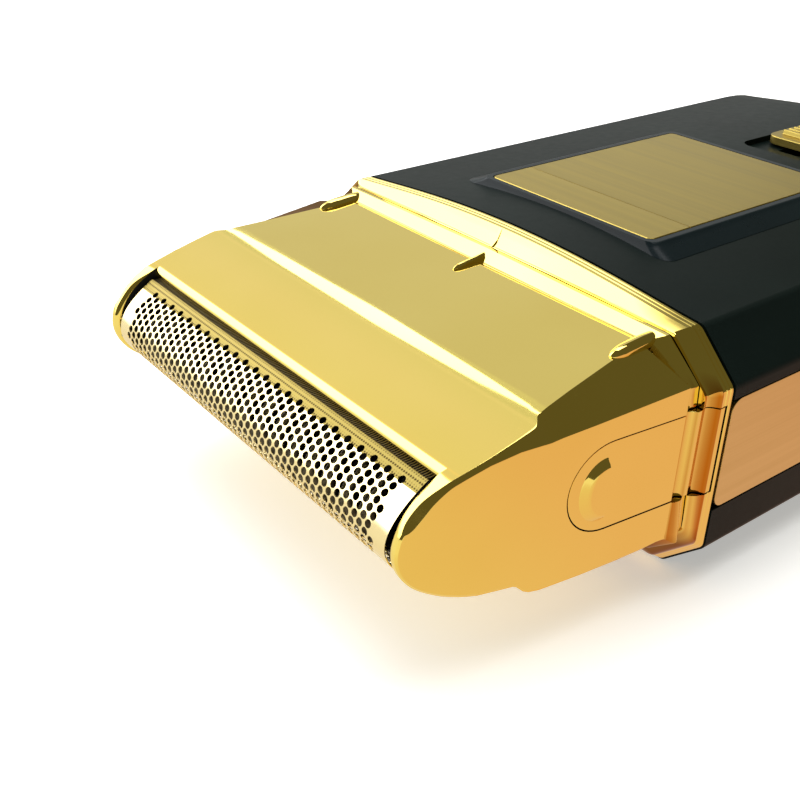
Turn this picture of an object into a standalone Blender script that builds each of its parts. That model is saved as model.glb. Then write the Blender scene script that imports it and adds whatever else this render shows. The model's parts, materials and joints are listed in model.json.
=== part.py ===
"""Foil shaver: a slim rechargeable shaver with one arched foil, lying on its back.

The shaver is built round a datum at the middle of the head's front lip, the edge that the foil
stands out of. X runs across the shaver, Y from the foil towards the base, and Z out of its front
face. An empty carries everything from that datum to the world's origin, which is the middle of
the shaver's footprint on the surface that it lies on.
"""

import math

import bmesh
import bpy
from mathutils import Vector

# Driving dimensions, in metres.
BODY_HALF_WIDTH = 0.0303
BODY_BACK_Z = -0.0224  # the flat back, below the lip
BODY_START_Y = 0.0299
BODY_END_Y = 0.1083
FLANGE_BACK_Z = -0.0221
FLANGE_START_Y = 0.0268
FLANGE_EDGE_Y = 0.0281
FOIL_TIP_Y = -0.0057

CORNER_WIDTH = 0.0083  # the body's elliptical corners, along X
FRONT_CORNER_Z = -0.0008  # where a front corner starts on the side
FRONT_CORNER_DROP = 0.0060
BACK_CORNER_Z = -0.0175
FRONT_CROWN = 0.00125
WALL = 0.0018
GAP = 0.0003

HEAD_MID_Z = -0.0062
HEAD_END_Y = 0.0265
COLLAR_INSET = 0.0019  # how far the parting rim lies inside the body's outline, front and back
COLLAR_SIDE_INSET = 0.00084
CHEEK_INNER_X = 0.0249
THROAT_HALF_WIDTH = 0.0207  # wide enough for the cutter to pass as the head comes off
PARTING_Z = -0.0073

FOIL_CREST_Y = -0.00547
FOIL_HALF_HEIGHT = 0.0050
FOIL_CURVE = 170.0  # crest-to-side rise per metre squared
FOIL_THICKNESS = 0.00035
FOIL_HALF_LENGTH = 0.0244

CUTTER_STROKE = 0.0012
FOIL_FLOAT = 0.0008
BUTTON_TRAVEL = 0.0012
BUTTON_Z = -0.0058
SWITCH_TRAVEL = 0.0040

MOTOR_Z = -0.0060
CELL_X = 0.0198
CELL_Z = -0.0080
CELL_RADIUS = 0.0071
CELL_START_Y = 0.0390
CELL_END_Y = 0.0890

PLATE_HALF_WIDTH = 0.01228
PLATE_START_Y = 0.03767
PLATE_END_Y = 0.0700
PLATE_TOP_Z = 0.0069
PLATE_FLOOR_Z = 0.0056  # the floor of its pocket in the shell

BOARD_SCREW_Y = 0.0755
KNOB_START_Y = 0.0800
KNOB_END_Y = 0.0900
LED_Y = 0.0960

LIP_TO_CENTRE = Vector((0, -(BODY_END_Y + FOIL_TIP_Y) / 2, -BODY_BACK_Z))
SIDES = {"left": -1, "right": 1}


# Scene and materials


def clear_scene():
    for item in list(bpy.data.objects):
        bpy.data.objects.remove(item, do_unlink=True)


def material(name, colour, metallic, roughness):
    made = bpy.data.materials.new(name)
    made.use_nodes = True
    shader = made.node_tree.nodes["Principled BSDF"]
    shader.inputs["Base Color"].default_value = (*colour, 1.0)
    shader.inputs["Metallic"].default_value = metallic
    shader.inputs["Roughness"].default_value = roughness
    return made


def make_materials():
    return {
        "polished_gold": material("polished_gold", (0.90, 0.62, 0.19), 1.0, 0.08),
        "foil_gold": material("foil_gold", (0.88, 0.70, 0.32), 1.0, 0.2),
        "brushed_gold": material("brushed_gold", (0.72, 0.55, 0.27), 1.0, 0.4),
        "black_shell": material("black_shell", (0.012, 0.016, 0.016), 0.0, 0.35),
        "dark_plastic": material("dark_plastic", (0.02, 0.02, 0.022), 0.0, 0.5),
        "grey_plastic": material("grey_plastic", (0.32, 0.33, 0.34), 0.0, 0.5),
        "steel": material("steel", (0.62, 0.63, 0.65), 1.0, 0.25),
        "spring_steel": material("spring_steel", (0.55, 0.55, 0.56), 1.0, 0.35),
        "zinc_can": material("zinc_can", (0.66, 0.67, 0.68), 1.0, 0.45),
        "rubber": material("rubber", (0.05, 0.05, 0.05), 0.0, 0.8),
        "cell_wrap": material("cell_wrap", (0.05, 0.16, 0.42), 0.0, 0.35),
        "board_green": material("board_green", (0.02, 0.18, 0.07), 0.0, 0.45),
        "nickel": material("nickel", (0.70, 0.68, 0.62), 1.0, 0.3),
        "clear_lens": material("clear_lens", (0.75, 0.80, 0.78), 0.0, 0.1),
        "red_wire": material("red_wire", (0.55, 0.03, 0.02), 0.0, 0.5),
        "black_wire": material("black_wire", (0.02, 0.02, 0.02), 0.0, 0.5),
        "magnet": material("magnet", (0.12, 0.12, 0.13), 0.3, 0.6),
    }


# Mesh tools


def new_object(name, mesh, finish=None):
    made = bpy.data.objects.new(name, mesh)
    bpy.context.scene.collection.objects.link(made)
    made.parent = DATUM
    if finish:
        mesh.materials.append(MATERIALS[finish])
    return made


def from_bmesh(name, bm, finish=None, smooth=False, origin=(0, 0, 0)):
    """Closes a bmesh into an object whose own origin is at the given point."""
    bmesh.ops.recalc_face_normals(bm, faces=bm.faces)
    bmesh.ops.translate(bm, verts=bm.verts, vec=-Vector(origin))
    mesh = bpy.data.meshes.new(name)
    bm.to_mesh(mesh)
    bm.free()
    if smooth:
        mesh.shade_smooth()
        mesh.set_sharp_from_angle(angle=math.radians(35))
    made = new_object(name, mesh, finish)
    made.location = origin
    return made


def loft(bm, rings):
    """Joins rings of equally many points into one closed skin with flat ends."""
    rows = [[bm.verts.new(point) for point in ring] for ring in rings]
    count = len(rows[0])
    for first, second in zip(rows, rows[1:]):
        for i in range(count):
            j = (i + 1) % count
            bm.faces.new((first[i], first[j], second[j], second[i]))
    bm.faces.new(rows[0])
    bm.faces.new(reversed(rows[-1]))


def prism(bm, outline, axis, low, high):
    """Extrudes a closed 2-D outline along X, Y or Z."""
    place = {
        "X": lambda p, d: (d, p[0], p[1]),
        "Y": lambda p, d: (p[0], d, p[1]),
        "Z": lambda p, d: (p[0], p[1], d),
    }[axis]
    loft(bm, [[place(point, depth) for point in outline] for depth in (low, high)])


def box(bm, low, high):
    outline = [(low[0], low[1]), (high[0], low[1]), (high[0], high[1]), (low[0], high[1])]
    prism(bm, outline, "Z", low[2], high[2])


def circle(cx, cy, radius, sides=20):
    turn = 2 * math.pi / sides
    return [
        (cx + radius * math.cos(turn * i), cy + radius * math.sin(turn * i)) for i in range(sides)
    ]


def slot(cx, cy, half_length, radius, steps=6):
    """A slot outline, long in its first direction."""
    points = []
    for centre, start in ((cx + half_length - radius, -90), (cx - half_length + radius, 90)):
        for i in range(steps + 1):
            angle = math.radians(start + 180 * i / steps)
            points.append((centre + radius * math.cos(angle), cy + radius * math.sin(angle)))
    return points


def rounded_box(low, high, radius, steps=3):
    """A rectangle outline with round corners."""
    corners = (
        (high[0] - radius, high[1] - radius, 0),
        (low[0] + radius, high[1] - radius, 90),
        (low[0] + radius, low[1] + radius, 180),
        (high[0] - radius, low[1] + radius, 270),
    )
    points = []
    for x, y, start in corners:
        for i in range(steps + 1):
            angle = math.radians(start + 90 * i / steps)
            points.append((x + radius * math.cos(angle), y + radius * math.sin(angle)))
    return points


def solid(name, finish, *shapes, smooth=False, origin=(0, 0, 0)):
    """One object from prisms: each shape is (outline, axis, low, high), joined by Booleans."""
    base = None
    for i, (outline, axis, low, high) in enumerate(shapes):
        bm = bmesh.new()
        prism(bm, outline, axis, low, high)
        if base is None:
            base = from_bmesh(name, bm, finish, smooth, origin)
        else:
            join(base, from_bmesh(f"{name}_piece_{i}", bm))
    return base


def tool(item):
    """Marks an object as a shape that only cuts or joins."""
    item.hide_render = True
    item.display_type = "WIRE"
    return item


def boolean(target, other, operation):
    step = target.modifiers.new(f"{operation.lower()}_{other.name}", "BOOLEAN")
    step.operation = operation
    step.solver = "EXACT"
    step.object = tool(other)


def join(target, other):
    boolean(target, other, "UNION")


def cut(target, *shapes):
    """Cuts prisms out of an object: each shape is (outline, axis, low, high)."""
    for i, (outline, axis, low, high) in enumerate(shapes):
        bm = bmesh.new()
        prism(bm, outline, axis, low, high)
        number = len(target.modifiers)
        boolean(target, from_bmesh(f"{target.name}_cut_{number}_{i}", bm), "DIFFERENCE")


def rect(x0, y0, x1, y1):
    return [(x0, y0), (x1, y0), (x1, y1), (x0, y1)]


def mirrored(outline, side):
    """An outline whose first coordinate is turned to the given side."""
    return [(side * a, b) for a, b in outline]


def coil(name, finish, start, end, radius, wire, turns):
    """A round-wire spring between two points, its axis along X or Y."""
    start, end = Vector(start), Vector(end)
    along = (end - start).normalized()
    across = Vector((0, 0, 1))
    third = along.cross(across)
    per_turn, around = 10, 6
    rings = []
    count = turns * per_turn
    for i in range(count + 1):
        angle = 2 * math.pi * i / per_turn
        outward = across * math.cos(angle) + third * math.sin(angle)
        centre = start.lerp(end, i / count) + outward * radius
        rings.append(
            [
                centre
                + outward * wire * math.cos(2 * math.pi * k / around)
                + along * wire * math.sin(2 * math.pi * k / around)
                for k in range(around)
            ]
        )
    bm = bmesh.new()
    loft(bm, rings)
    return from_bmesh(name, bm, finish, smooth=True)


def lead(name, finish, points, radius=0.0006):
    """An insulated wire along a smooth curve through its points."""
    curve = bpy.data.curves.new(name, "CURVE")
    curve.dimensions = "3D"
    curve.bevel_depth = radius
    curve.bevel_resolution = 1
    curve.use_fill_caps = True
    smooth = catmull_rom([Vector(p) for p in points], steps=4)
    spline = curve.splines.new("POLY")
    spline.points.add(len(smooth) - 1)
    for point, place in zip(spline.points, smooth):
        point.co = (*place, 1.0)
    return new_object(name, curve, finish)


def catmull_rom(points, steps):
    ends = [points[0] * 2 - points[1], *points, points[-1] * 2 - points[-2]]
    smooth = []
    for a, b, c, d in zip(ends, ends[1:], ends[2:], ends[3:]):
        for i in range(steps):
            t = i / steps
            smooth.append(
                (b * 2 + (c - a) * t + (a * 2 - b * 5 + c * 4 - d) * t**2
                 + (b * 3 - a - c * 3 + d) * t**3) / 2
            )
    return [*smooth, points[-1]]


# Cross-sections along the shaver


def section(half, front, back, width, front_drop, back_drop, crown, power=2.0):
    """A cross-section (x, z): crowned front, flat back, four corners of a chosen roundness.

    The power is 1 for a straight chamfer and 2 for an ellipse.
    """
    steps = 4
    points = []

    def corner(cx, cz, down, start):
        for i in range(steps + 1):
            angle = math.radians(start + 90 * i / steps)
            c, s = math.cos(angle), math.sin(angle)
            x = math.copysign(abs(c) ** (2 / power), c) if abs(c) > 1e-9 else 0.0
            z = math.copysign(abs(s) ** (2 / power), s) if abs(s) > 1e-9 else 0.0
            points.append((cx + width * x, cz + down * z))

    flat = half - width
    corner(flat, front - front_drop, front_drop, 0)
    for i in range(1, 6):
        x = flat * (1 - 2 * i / 6)
        points.append((x, front + crown * (1 - (x / flat) ** 2)))
    corner(-flat, front - front_drop, front_drop, 90)
    corner(-flat, back + back_drop, back_drop, 180)
    corner(flat, back + back_drop, back_drop, 270)
    return points


def body_section(inset=0.0, back=BODY_BACK_Z, side_inset=None):
    """The body's cross-section, drawn in by the inset, or by another one on its two sides."""
    side_inset = inset if side_inset is None else side_inset
    return section(
        BODY_HALF_WIDTH - side_inset,
        FRONT_CORNER_Z + FRONT_CORNER_DROP - inset,
        back + inset,
        CORNER_WIDTH - side_inset,
        FRONT_CORNER_DROP - inset,
        BACK_CORNER_Z - back - inset,
        FRONT_CROWN,
    )


def head_section(half, front, chamfer, drop):
    """The head's cross-section: flat faces and straight chamfers, alike front and back."""
    back = 2 * HEAD_MID_Z - front
    return section(half, front, back, chamfer, drop, drop, 0.0, power=1.0)


def along_y(y, outline):
    return [(x, y, z) for x, z in outline]


# The head


def make_head_frame():
    """The plated head: two cheeks that hold the foil between them, and a collar at the neck."""
    stations = (
        # y, half width, front z, chamfer width, chamfer drop
        (-0.0057, 0.0259, -0.0046, 0.0004, 0.0004),
        (-0.0050, 0.0261, -0.0032, 0.0005, 0.0004),
        (-0.0036, 0.0263, -0.0018, 0.0005, 0.0004),
        (-0.0018, 0.0265, -0.0007, 0.0006, 0.0004),
        (0.0000, 0.0267, 0.0000, 0.0010, 0.0004),
        (0.0094, 0.0277, 0.00225, 0.0023, 0.0013),
        (0.0245, 0.02925, 0.0034, 0.0064, 0.0019),
    )
    rings = [along_y(y, head_section(h, f, c, d)) for y, h, f, c, d in stations]
    rings.append(along_y(0.0254, body_section(0.0027, FLANGE_BACK_Z + 0.0010, 0.0013)))
    rings.append(along_y(0.0260, body_section(COLLAR_INSET, FLANGE_BACK_Z, COLLAR_SIDE_INSET)))
    rings.append(along_y(HEAD_END_Y, body_section(COLLAR_INSET, FLANGE_BACK_Z, COLLAR_SIDE_INSET)))
    bm = bmesh.new()
    loft(bm, rings)
    frame = from_bmesh("head_frame", bm, "polished_gold", smooth=True)

    lip = 0.0006
    mid = HEAD_MID_Z
    chamber = [
        (FOIL_TIP_Y - 0.002, -lip),
        (0.0010, -lip),
        (0.0094, 0.0010),
        (0.0245, 0.0020),
        (HEAD_END_Y + 0.002, 0.0020),
    ]
    chamber += [(y, 2 * mid - z) for y, z in reversed(chamber)]
    ledge = (0.0100, 0.0116)
    for name, x, y0, y1 in (
        ("mouth", CHEEK_INNER_X, FOIL_TIP_Y - 0.002, ledge[0]),
        ("throat", THROAT_HALF_WIDTH, ledge[0] - 0.001, ledge[1] + 0.001),
        ("chamber", CHEEK_INNER_X, ledge[1], HEAD_END_Y + 0.002),
    ):
        bm = bmesh.new()
        prism(bm, clip_y(chamber, y0, y1), "X", -x, x)
        boolean(frame, from_bmesh(f"head_{name}", bm), "DIFFERENCE")
    for side in SIDES.values():
        outline = pill(0.0112, HEAD_END_Y + 0.002, 0.0047)
        cut(frame, (outline, "X", *sorted((side * 0.0240, side * 0.0320))))
    return frame


def clip_y(outline, low, high):
    """The part of a (y, z) outline, mirrored about the head's middle, between two values of y."""
    top = outline[: len(outline) // 2]

    def height(y):
        for (y0, z0), (y1, z1) in zip(top, top[1:]):
            if y0 <= y <= y1:
                return z0 + (z1 - z0) * (y - y0) / (y1 - y0)
        return top[-1][1]

    inner = [p for p in top if low < p[0] < high]
    kept = [(low, height(low)), *inner, (high, height(high))]
    return kept + [(y, 2 * HEAD_MID_Z - z) for y, z in reversed(kept)]


def pill(start, end, half_height, steps=8):
    """The release button's outline (y, z): one round end, running straight back from it."""
    centre = start + half_height
    mid = BUTTON_Z
    points = [(end, mid + half_height)]
    for i in range(steps + 1):
        angle = math.radians(90 + 180 * i / steps)
        points.append((centre + half_height * math.cos(angle), mid + half_height * math.sin(angle)))
    points.append((end, mid - half_height))
    return points


def side_x(y):
    """The head's half width, which grows evenly towards the neck."""
    return 0.0267 + 0.105 * y


def make_foil():
    """The foil: a thin arched sheet, open behind, whose legs run back beside the carrier."""
    steps = 14
    outer, inner = [], []
    for i in range(steps + 1):
        rise = FOIL_HALF_HEIGHT * (1 - 2 * i / steps)
        slope = 2 * FOIL_CURVE * rise
        length = math.hypot(1, slope)
        y = FOIL_CREST_Y + FOIL_CURVE * rise * rise
        outer.append((y, HEAD_MID_Z + rise))
        inner.append(
            (y + FOIL_THICKNESS / length, HEAD_MID_Z + rise - FOIL_THICKNESS * slope / length)
        )
    leg_end = 0.0042
    top = (leg_end, HEAD_MID_Z + FOIL_HALF_HEIGHT + 0.0001)
    bottom = (leg_end, HEAD_MID_Z - FOIL_HALF_HEIGHT - 0.0001)
    thin = FOIL_THICKNESS
    outline = [top, *outer, bottom, (leg_end, bottom[1] + thin), *reversed(inner)]
    outline.append((leg_end, top[1] - thin))
    bm = bmesh.new()
    prism(bm, outline, "X", -FOIL_HALF_LENGTH, FOIL_HALF_LENGTH)
    return from_bmesh("foil", bm, "foil_gold", smooth=True)


def make_foil_carrier():
    """The plastic ring inside the foil, with a solid block and a spring stud at each end."""
    half_height = FOIL_HALF_HEIGHT + 0.0001 - FOIL_THICKNESS - GAP
    mid = HEAD_MID_Z
    carrier = solid(
        "foil_carrier",
        "dark_plastic",
        (rect(-0.0242, mid - half_height, 0.0242, mid + half_height), "Y", 0.0004, 0.0050),
    )
    inner = half_height - 0.0006
    cut(carrier, (rect(-0.0221, mid - inner, 0.0221, mid + inner), "Y", -0.001, 0.006))
    for side in SIDES.values():
        bm = bmesh.new()
        prism(bm, circle(side * 0.02325, mid, 0.0006, 10), "Y", 0.0045, 0.0066)
        join(carrier, from_bmesh("carrier_stud", bm))
    return carrier


def make_foil_springs():
    for name, side in SIDES.items():
        x = side * 0.02325
        coil(
            f"foil_spring_{name}",
            "spring_steel",
            (x, 0.00555, HEAD_MID_Z),
            (x, 0.00945, HEAD_MID_Z),
            0.00118,
            0.00018,
            4,
        )


# The cutter and its drive


def make_cutter_block():
    """The cutter: a base bar with a row of arched blades, and a socket for the drive pin."""
    mid = HEAD_MID_Z
    cutter = solid(
        "cutter_block",
        "steel",
        (rect(-0.0202, mid - 0.0030, 0.0202, mid + 0.0030), "Y", 0.0018, 0.0042),
        (rect(-0.0027, mid - 0.0027, 0.0027, mid + 0.0027), "Y", 0.0040, 0.0072),
    )
    blade_gap = FOIL_THICKNESS + GAP
    half = 0.0036
    steps = 8
    edge = []
    for i in range(steps + 1):
        rise = half * (1 - 2 * i / steps)
        edge.append((FOIL_CREST_Y + blade_gap + 1.2 * FOIL_CURVE * rise * rise, mid + rise))
    outline = [(0.0030, mid + 0.0026), *edge, (0.0030, mid - 0.0026)]
    count = 16
    pitch = 2 * (0.0202 - 0.0004) / (count - 1)
    blades = bmesh.new()
    for i in range(count):
        x = -0.0198 + pitch * i
        prism(blades, outline, "X", x - 0.00025, x + 0.00025)
    join(cutter, from_bmesh("cutter_blades", blades))
    cut(cutter, (circle(0, mid, 0.0014, 12), "Y", 0.0028, 0.0080))
    return cutter


def make_drive():
    """The swinging bridge inside the tower, its drive pin and the spring under the cutter."""
    mid = HEAD_MID_Z
    bridge = solid(
        "drive_bridge",
        "grey_plastic",
        (rect(-0.0100, mid - 0.0036, 0.0100, mid + 0.0036), "Y", 0.0170, 0.0212),
        (rect(-0.0053, mid - 0.0030, 0.0053, mid + 0.0030), "Y", 0.0205, 0.0273),
        (circle(0, mid, 0.0024, 14), "Y", 0.0158, 0.0175),
    )
    cut(
        bridge,
        (rect(-0.0036, mid - 0.0050, 0.0036, mid + 0.0050), "Y", 0.0218, 0.0290),
        (circle(0, mid, 0.0013, 12), "Y", 0.0120, 0.0205),
    )
    solid("drive_pin", "steel", (circle(0, mid, 0.0010, 12), "Y", 0.0044, 0.0202), smooth=True)
    coil(
        "cutter_spring",
        "spring_steel",
        (0, 0.0079, mid),
        (0, 0.0152, mid),
        0.0018,
        0.00022,
        5,
    )
    for name, side in SIDES.items():
        x0, x1 = sorted((side * 0.0103, side * 0.0107))
        leaf = (rect(x0, 0.0172, x1, 0.0266), "Z", mid - 0.0030, mid + 0.0030)
        solid(f"bridge_leaf_{name}", "spring_steel", leaf)


def make_neck_deck():
    """The deck that closes the body's mouth: a hollow tower into the head, and side posts."""
    mid = HEAD_MID_Z
    plate = body_section(0.0028, BODY_BACK_Z + 0.0001)
    deck = solid("neck_deck", "dark_plastic", (plate, "Y", 0.0271, 0.0294))
    bm = bmesh.new()
    prism(bm, rounded_box((-0.0180, mid - 0.0062), (0.0180, mid + 0.0062), 0.0020), "Y", 0.0140, 0.028)
    join(deck, from_bmesh("deck_tower", bm))
    for side in SIDES.values():
        x0, x1 = sorted((side * 0.0192, side * 0.0206))
        bm = bmesh.new()
        box(bm, (x0, 0.0290, mid - 0.0026), (x1, 0.0332, mid + 0.0030))
        join(deck, from_bmesh("deck_post", bm))
    tower_room = rounded_box((-0.0166, mid - 0.0049), (0.0166, mid + 0.0049), 0.0010)
    cut(
        deck,
        (tower_room, "Y", 0.0153, 0.0310),
        (slot(0, mid, 0.0052, 0.0034), "Y", 0.0120, 0.0170),
    )
    for side in SIDES.values():
        x0, x1 = sorted((side * 0.0234, side * 0.0320))
        cut(deck, (rect(x0, BUTTON_Z - 0.0047, x1, BUTTON_Z + 0.0047), "Y", 0.0250, 0.0320))
    return deck


def make_hair_seal():
    """The rubber boot that keeps hair out of the tower, with room for the pin's swing."""
    mid = HEAD_MID_Z
    seal = solid(
        "hair_seal",
        "rubber",
        (slot(0, mid, 0.0078, 0.0052), "Y", 0.0128, 0.0137),
        (slot(0, mid, 0.0049, 0.0031), "Y", 0.0132, 0.0150),
    )
    cut(seal, (slot(0, mid, 0.0039, 0.0024), "Y", 0.0110, 0.0170))
    return seal


def make_eccentric():
    """The eccentric on the motor's shaft: a hub and a pin set off its axis."""
    z = MOTOR_Z
    hub = solid(
        "eccentric",
        "grey_plastic",
        (circle(0, z, 0.0030, 16), "Y", 0.0278, 0.0312),
        (circle(0, z + 0.0011, 0.0010, 12), "Y", 0.0226, 0.0284),
        smooth=True,
        origin=(0, 0.0295, z),
    )
    cut(hub, (circle(0, z, 0.0013, 12), "Y", 0.0288, 0.0330))
    return hub


def make_motor():
    """The motor: a flat-sided can, its end cap, two magnets, and the armature on its shaft."""
    z = MOTOR_Z
    can = solid(
        "motor_can",
        "zinc_can",
        (flat_round(0.0102, 0.0077), "Y", 0.0370, 0.0620),
        (circle(0, z, 0.0030, 16), "Y", 0.0355, 0.0375),
    )
    cut(
        can,
        (flat_round(0.0093, 0.0068), "Y", 0.0380, 0.0640),
        (circle(0, z, 0.0013, 12), "Y", 0.0340, 0.0400),
        *[(circle(side * 0.0070, z, 0.0012, 10), "Y", 0.0360, 0.0390) for side in (-1, 1)],
    )
    cap = solid(
        "motor_end_cap",
        "dark_plastic",
        (flat_round(0.0102, 0.0077), "Y", 0.0623, 0.0640),
        (circle(0, z, 0.0035, 16), "Y", 0.0635, 0.0655),
        (rect(-0.0086, z - 0.0020, -0.0080, z + 0.0020), "Y", 0.0635, 0.0672),
        (rect(0.0080, z - 0.0020, 0.0086, z + 0.0020), "Y", 0.0635, 0.0672),
    )
    cut(cap, (circle(0, z, 0.0013, 12), "Y", 0.0600, 0.0648))
    rotor = solid(
        "motor_shaft",
        "steel",
        (circle(0, z, 0.0010, 12), "Y", 0.0291, 0.0645),
        (circle(0, z, 0.0048, 18), "Y", 0.0420, 0.0560),
        (circle(0, z, 0.0022, 12), "Y", 0.0555, 0.0610),
        smooth=True,
        origin=(0, 0.0460, z),
    )
    for name, side in SIDES.items():
        outline = arc_band(z, 0.0056, 0.0066, side)
        solid(f"motor_magnet_{name}", "magnet", (outline, "Y", 0.0400, 0.0590))
    return rotor


def flat_round(half_width, half_height):
    """A can's outline: round sides, cut flat above and below."""
    limit = math.asin(half_height / half_width)
    points = []
    for start in (-limit, math.pi - limit):
        for i in range(9):
            angle = start + 2 * limit * i / 8
            points.append((half_width * math.cos(angle), MOTOR_Z + half_width * math.sin(angle)))
    return points


def arc_band(z, inner, outer, side):
    angles = [math.radians(-42 + 84 * i / 8) for i in range(9)]
    band = [(side * outer * math.cos(a), z + outer * math.sin(a)) for a in angles]
    band += [(side * inner * math.cos(a), z + inner * math.sin(a)) for a in reversed(angles)]
    return band


# The release buttons


def make_release_buttons():
    """A sprung tongue in each side of the head, held at its root inside the body."""
    for name, side in SIDES.items():
        button = release_tongue(f"release_button_{name}", side)
        thumb = thumb_notch()
        bm = bmesh.new()
        depth = 0.0007
        prism(bm, thumb, "X", *sorted((side * (side_x(0.0145) - depth), side * 0.0310)))
        boolean(button, from_bmesh(f"{name}_notch", bm), "DIFFERENCE")
        coil(
            f"release_spring_{name}",
            "spring_steel",
            (side * 0.0212, 0.0313, BUTTON_Z),
            (side * 0.0243, 0.0313, BUTTON_Z),
            0.0014,
            0.0002,
            4,
        )


def release_tongue(name, side):
    start = 0.0115
    step_y, end = 0.0268, 0.0288
    outline = pill(start, end, 0.0044)
    bm = bmesh.new()
    prism(bm, outline, "X", *sorted((side * 0.0262, side * 0.0310)))
    button = from_bmesh(name, bm, "polished_gold")
    # The plan view: the outer face follows the flaring head, then the collar and the flange.
    plan = [
        (0.0262, start - 0.001),
        (side_x(start - 0.001), start - 0.001),
        (side_x(0.0245), 0.0245),
        (0.02946, 0.0262),
        (0.02946, step_y),
        (0.0303, 0.0281),
        (0.0303, end),
        (0.0262, end),
    ]
    bm = bmesh.new()
    prism(bm, mirrored(plan, side), "Z", BUTTON_Z - 0.006, BUTTON_Z + 0.006)
    boolean(button, from_bmesh(f"{name}_plan", bm), "INTERSECT")
    bm = bmesh.new()
    x0, x1 = sorted((side * 0.0248, side * 0.0276))
    box(bm, (x0, step_y, BUTTON_Z - 0.0042), (x1, 0.0345, BUTTON_Z + 0.0042))
    join(button, from_bmesh(f"{name}_root", bm))
    return button


def thumb_notch(steps=8):
    """The finger notch (y, z): straight towards the neck and round towards the foil."""
    points = []
    for i in range(steps + 1):
        angle = math.radians(90 + 180 * i / steps)
        points.append((0.0156 + 0.0027 * math.cos(angle), -0.00645 + 0.00325 * math.sin(angle)))
    return points


# The body


def make_neck_flange():
    """The plated ring round the neck, hollow in front, notched for the release buttons."""
    rings = [
        along_y(FLANGE_START_Y, body_section(COLLAR_INSET, FLANGE_BACK_Z, COLLAR_SIDE_INSET)),
        along_y(FLANGE_START_Y + 0.0006, body_section(0.0017, FLANGE_BACK_Z, 0.0008)),
        along_y(FLANGE_EDGE_Y, body_section(0, FLANGE_BACK_Z)),
        along_y(0.0296, body_section(0, FLANGE_BACK_Z)),
    ]
    bm = bmesh.new()
    loft(bm, rings)
    flange = from_bmesh("neck_flange", bm, "polished_gold", smooth=True)
    cut(flange, (body_section(0.0025, BODY_BACK_Z + 0.0001), "Y", 0.0250, 0.0310))
    for side in SIDES.values():
        for outer, end in ((0.0320, 0.0291), (0.0289, 0.0310)):
            x0, x1 = sorted((side * 0.0250, side * outer))
            notch = rect(x0, BUTTON_Z - 0.0047, x1, BUTTON_Z + 0.0047)
            cut(flange, (notch, "Y", 0.0250, end))
    return flange


BASE_ROUNDING = (
    # y, inset: the body's long side, then the rounded base
    (BODY_START_Y, 0.0),
    (0.0980, 0.0),
    (0.1030, 0.0003),
    (0.1062, 0.0012),
    (0.1078, 0.0025),
    (BODY_END_Y, 0.0040),
)


def body_loft(name, inset, finish=None):
    rings = []
    for y, drawn in BASE_ROUNDING:
        y = y - 0.003 if inset and y == BODY_START_Y else y - inset * (y > 0.1)
        rings.append(along_y(y, body_section(drawn + inset)))
    bm = bmesh.new()
    loft(bm, rings)
    return from_bmesh(name, bm, finish, smooth=True)


SCREWS = {
    # x, y
    "front_left": (-0.0159, 0.0348),
    "front_right": (0.0159, 0.0348),
    "rear_left": (-0.0225, 0.0970),
    "rear_right": (0.0225, 0.0970),
}
INLAY = {"start": 0.0300, "end": 0.0985, "low": -0.01335, "high": -0.00125, "depth": 0.0010}
SOCKET = {"half_width": 0.0088, "half_height": 0.0056, "z": -0.0080, "start": 0.0965}


def make_shells():
    """The two halves of the casing, which meet under the side inlays."""
    for name, low, high in (
        ("front_shell", PARTING_Z + GAP / 2, 0.02),
        ("back_shell", -0.04, PARTING_Z - GAP / 2),
    ):
        shell = body_loft(name, 0, "black_shell")
        boolean(shell, body_loft(f"{name}_room", WALL), "DIFFERENCE")
        bm = bmesh.new()
        box(bm, (-0.04, 0.02, low), (0.04, 0.12, high))
        boolean(shell, from_bmesh(f"{name}_half", bm), "INTERSECT")
        for side in SIDES.values():
            strip = rounded_box(
                (INLAY["start"] - 0.005, INLAY["low"] - GAP),
                (INLAY["end"] + GAP, INLAY["high"] + GAP),
                0.0016,
            )
            x0, x1 = sorted((side * (BODY_HALF_WIDTH - INLAY["depth"] - GAP), side * 0.04))
            cut(shell, (strip, "X", x0, x1))
        add_screw_bosses(shell, name == "front_shell")
        w = SOCKET["half_width"] + GAP
        h = SOCKET["half_height"] + GAP
        port = rounded_box((-w, SOCKET["z"] - h), (w, SOCKET["z"] + h), 0.0020)
        cut(shell, (port, "Y", 0.1000, 0.1100))
        if name == "front_shell":
            cut_front_openings(shell)


def add_screw_bosses(shell, front):
    for x, y in SCREWS.values():
        bm = bmesh.new()
        if front:
            prism(bm, circle(x, y, 0.0027, 12), "Z", PARTING_Z + 0.0004, 0.0042)
        else:
            prism(bm, circle(x, y, 0.0030, 12), "Z", BODY_BACK_Z + 0.0010, PARTING_Z - 0.0004)
        join(shell, from_bmesh(f"{shell.name}_boss", bm))
        if front:
            cut(shell, (circle(x, y, 0.0014, 10), "Z", PARTING_Z - 0.001, 0.0012))
        else:
            cut(
                shell,
                (circle(x, y, 0.0015, 10), "Z", BODY_BACK_Z - 0.001, PARTING_Z + 0.001),
                (circle(x, y, 0.0026, 12), "Z", BODY_BACK_Z - 0.001, -0.0194),
            )


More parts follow.
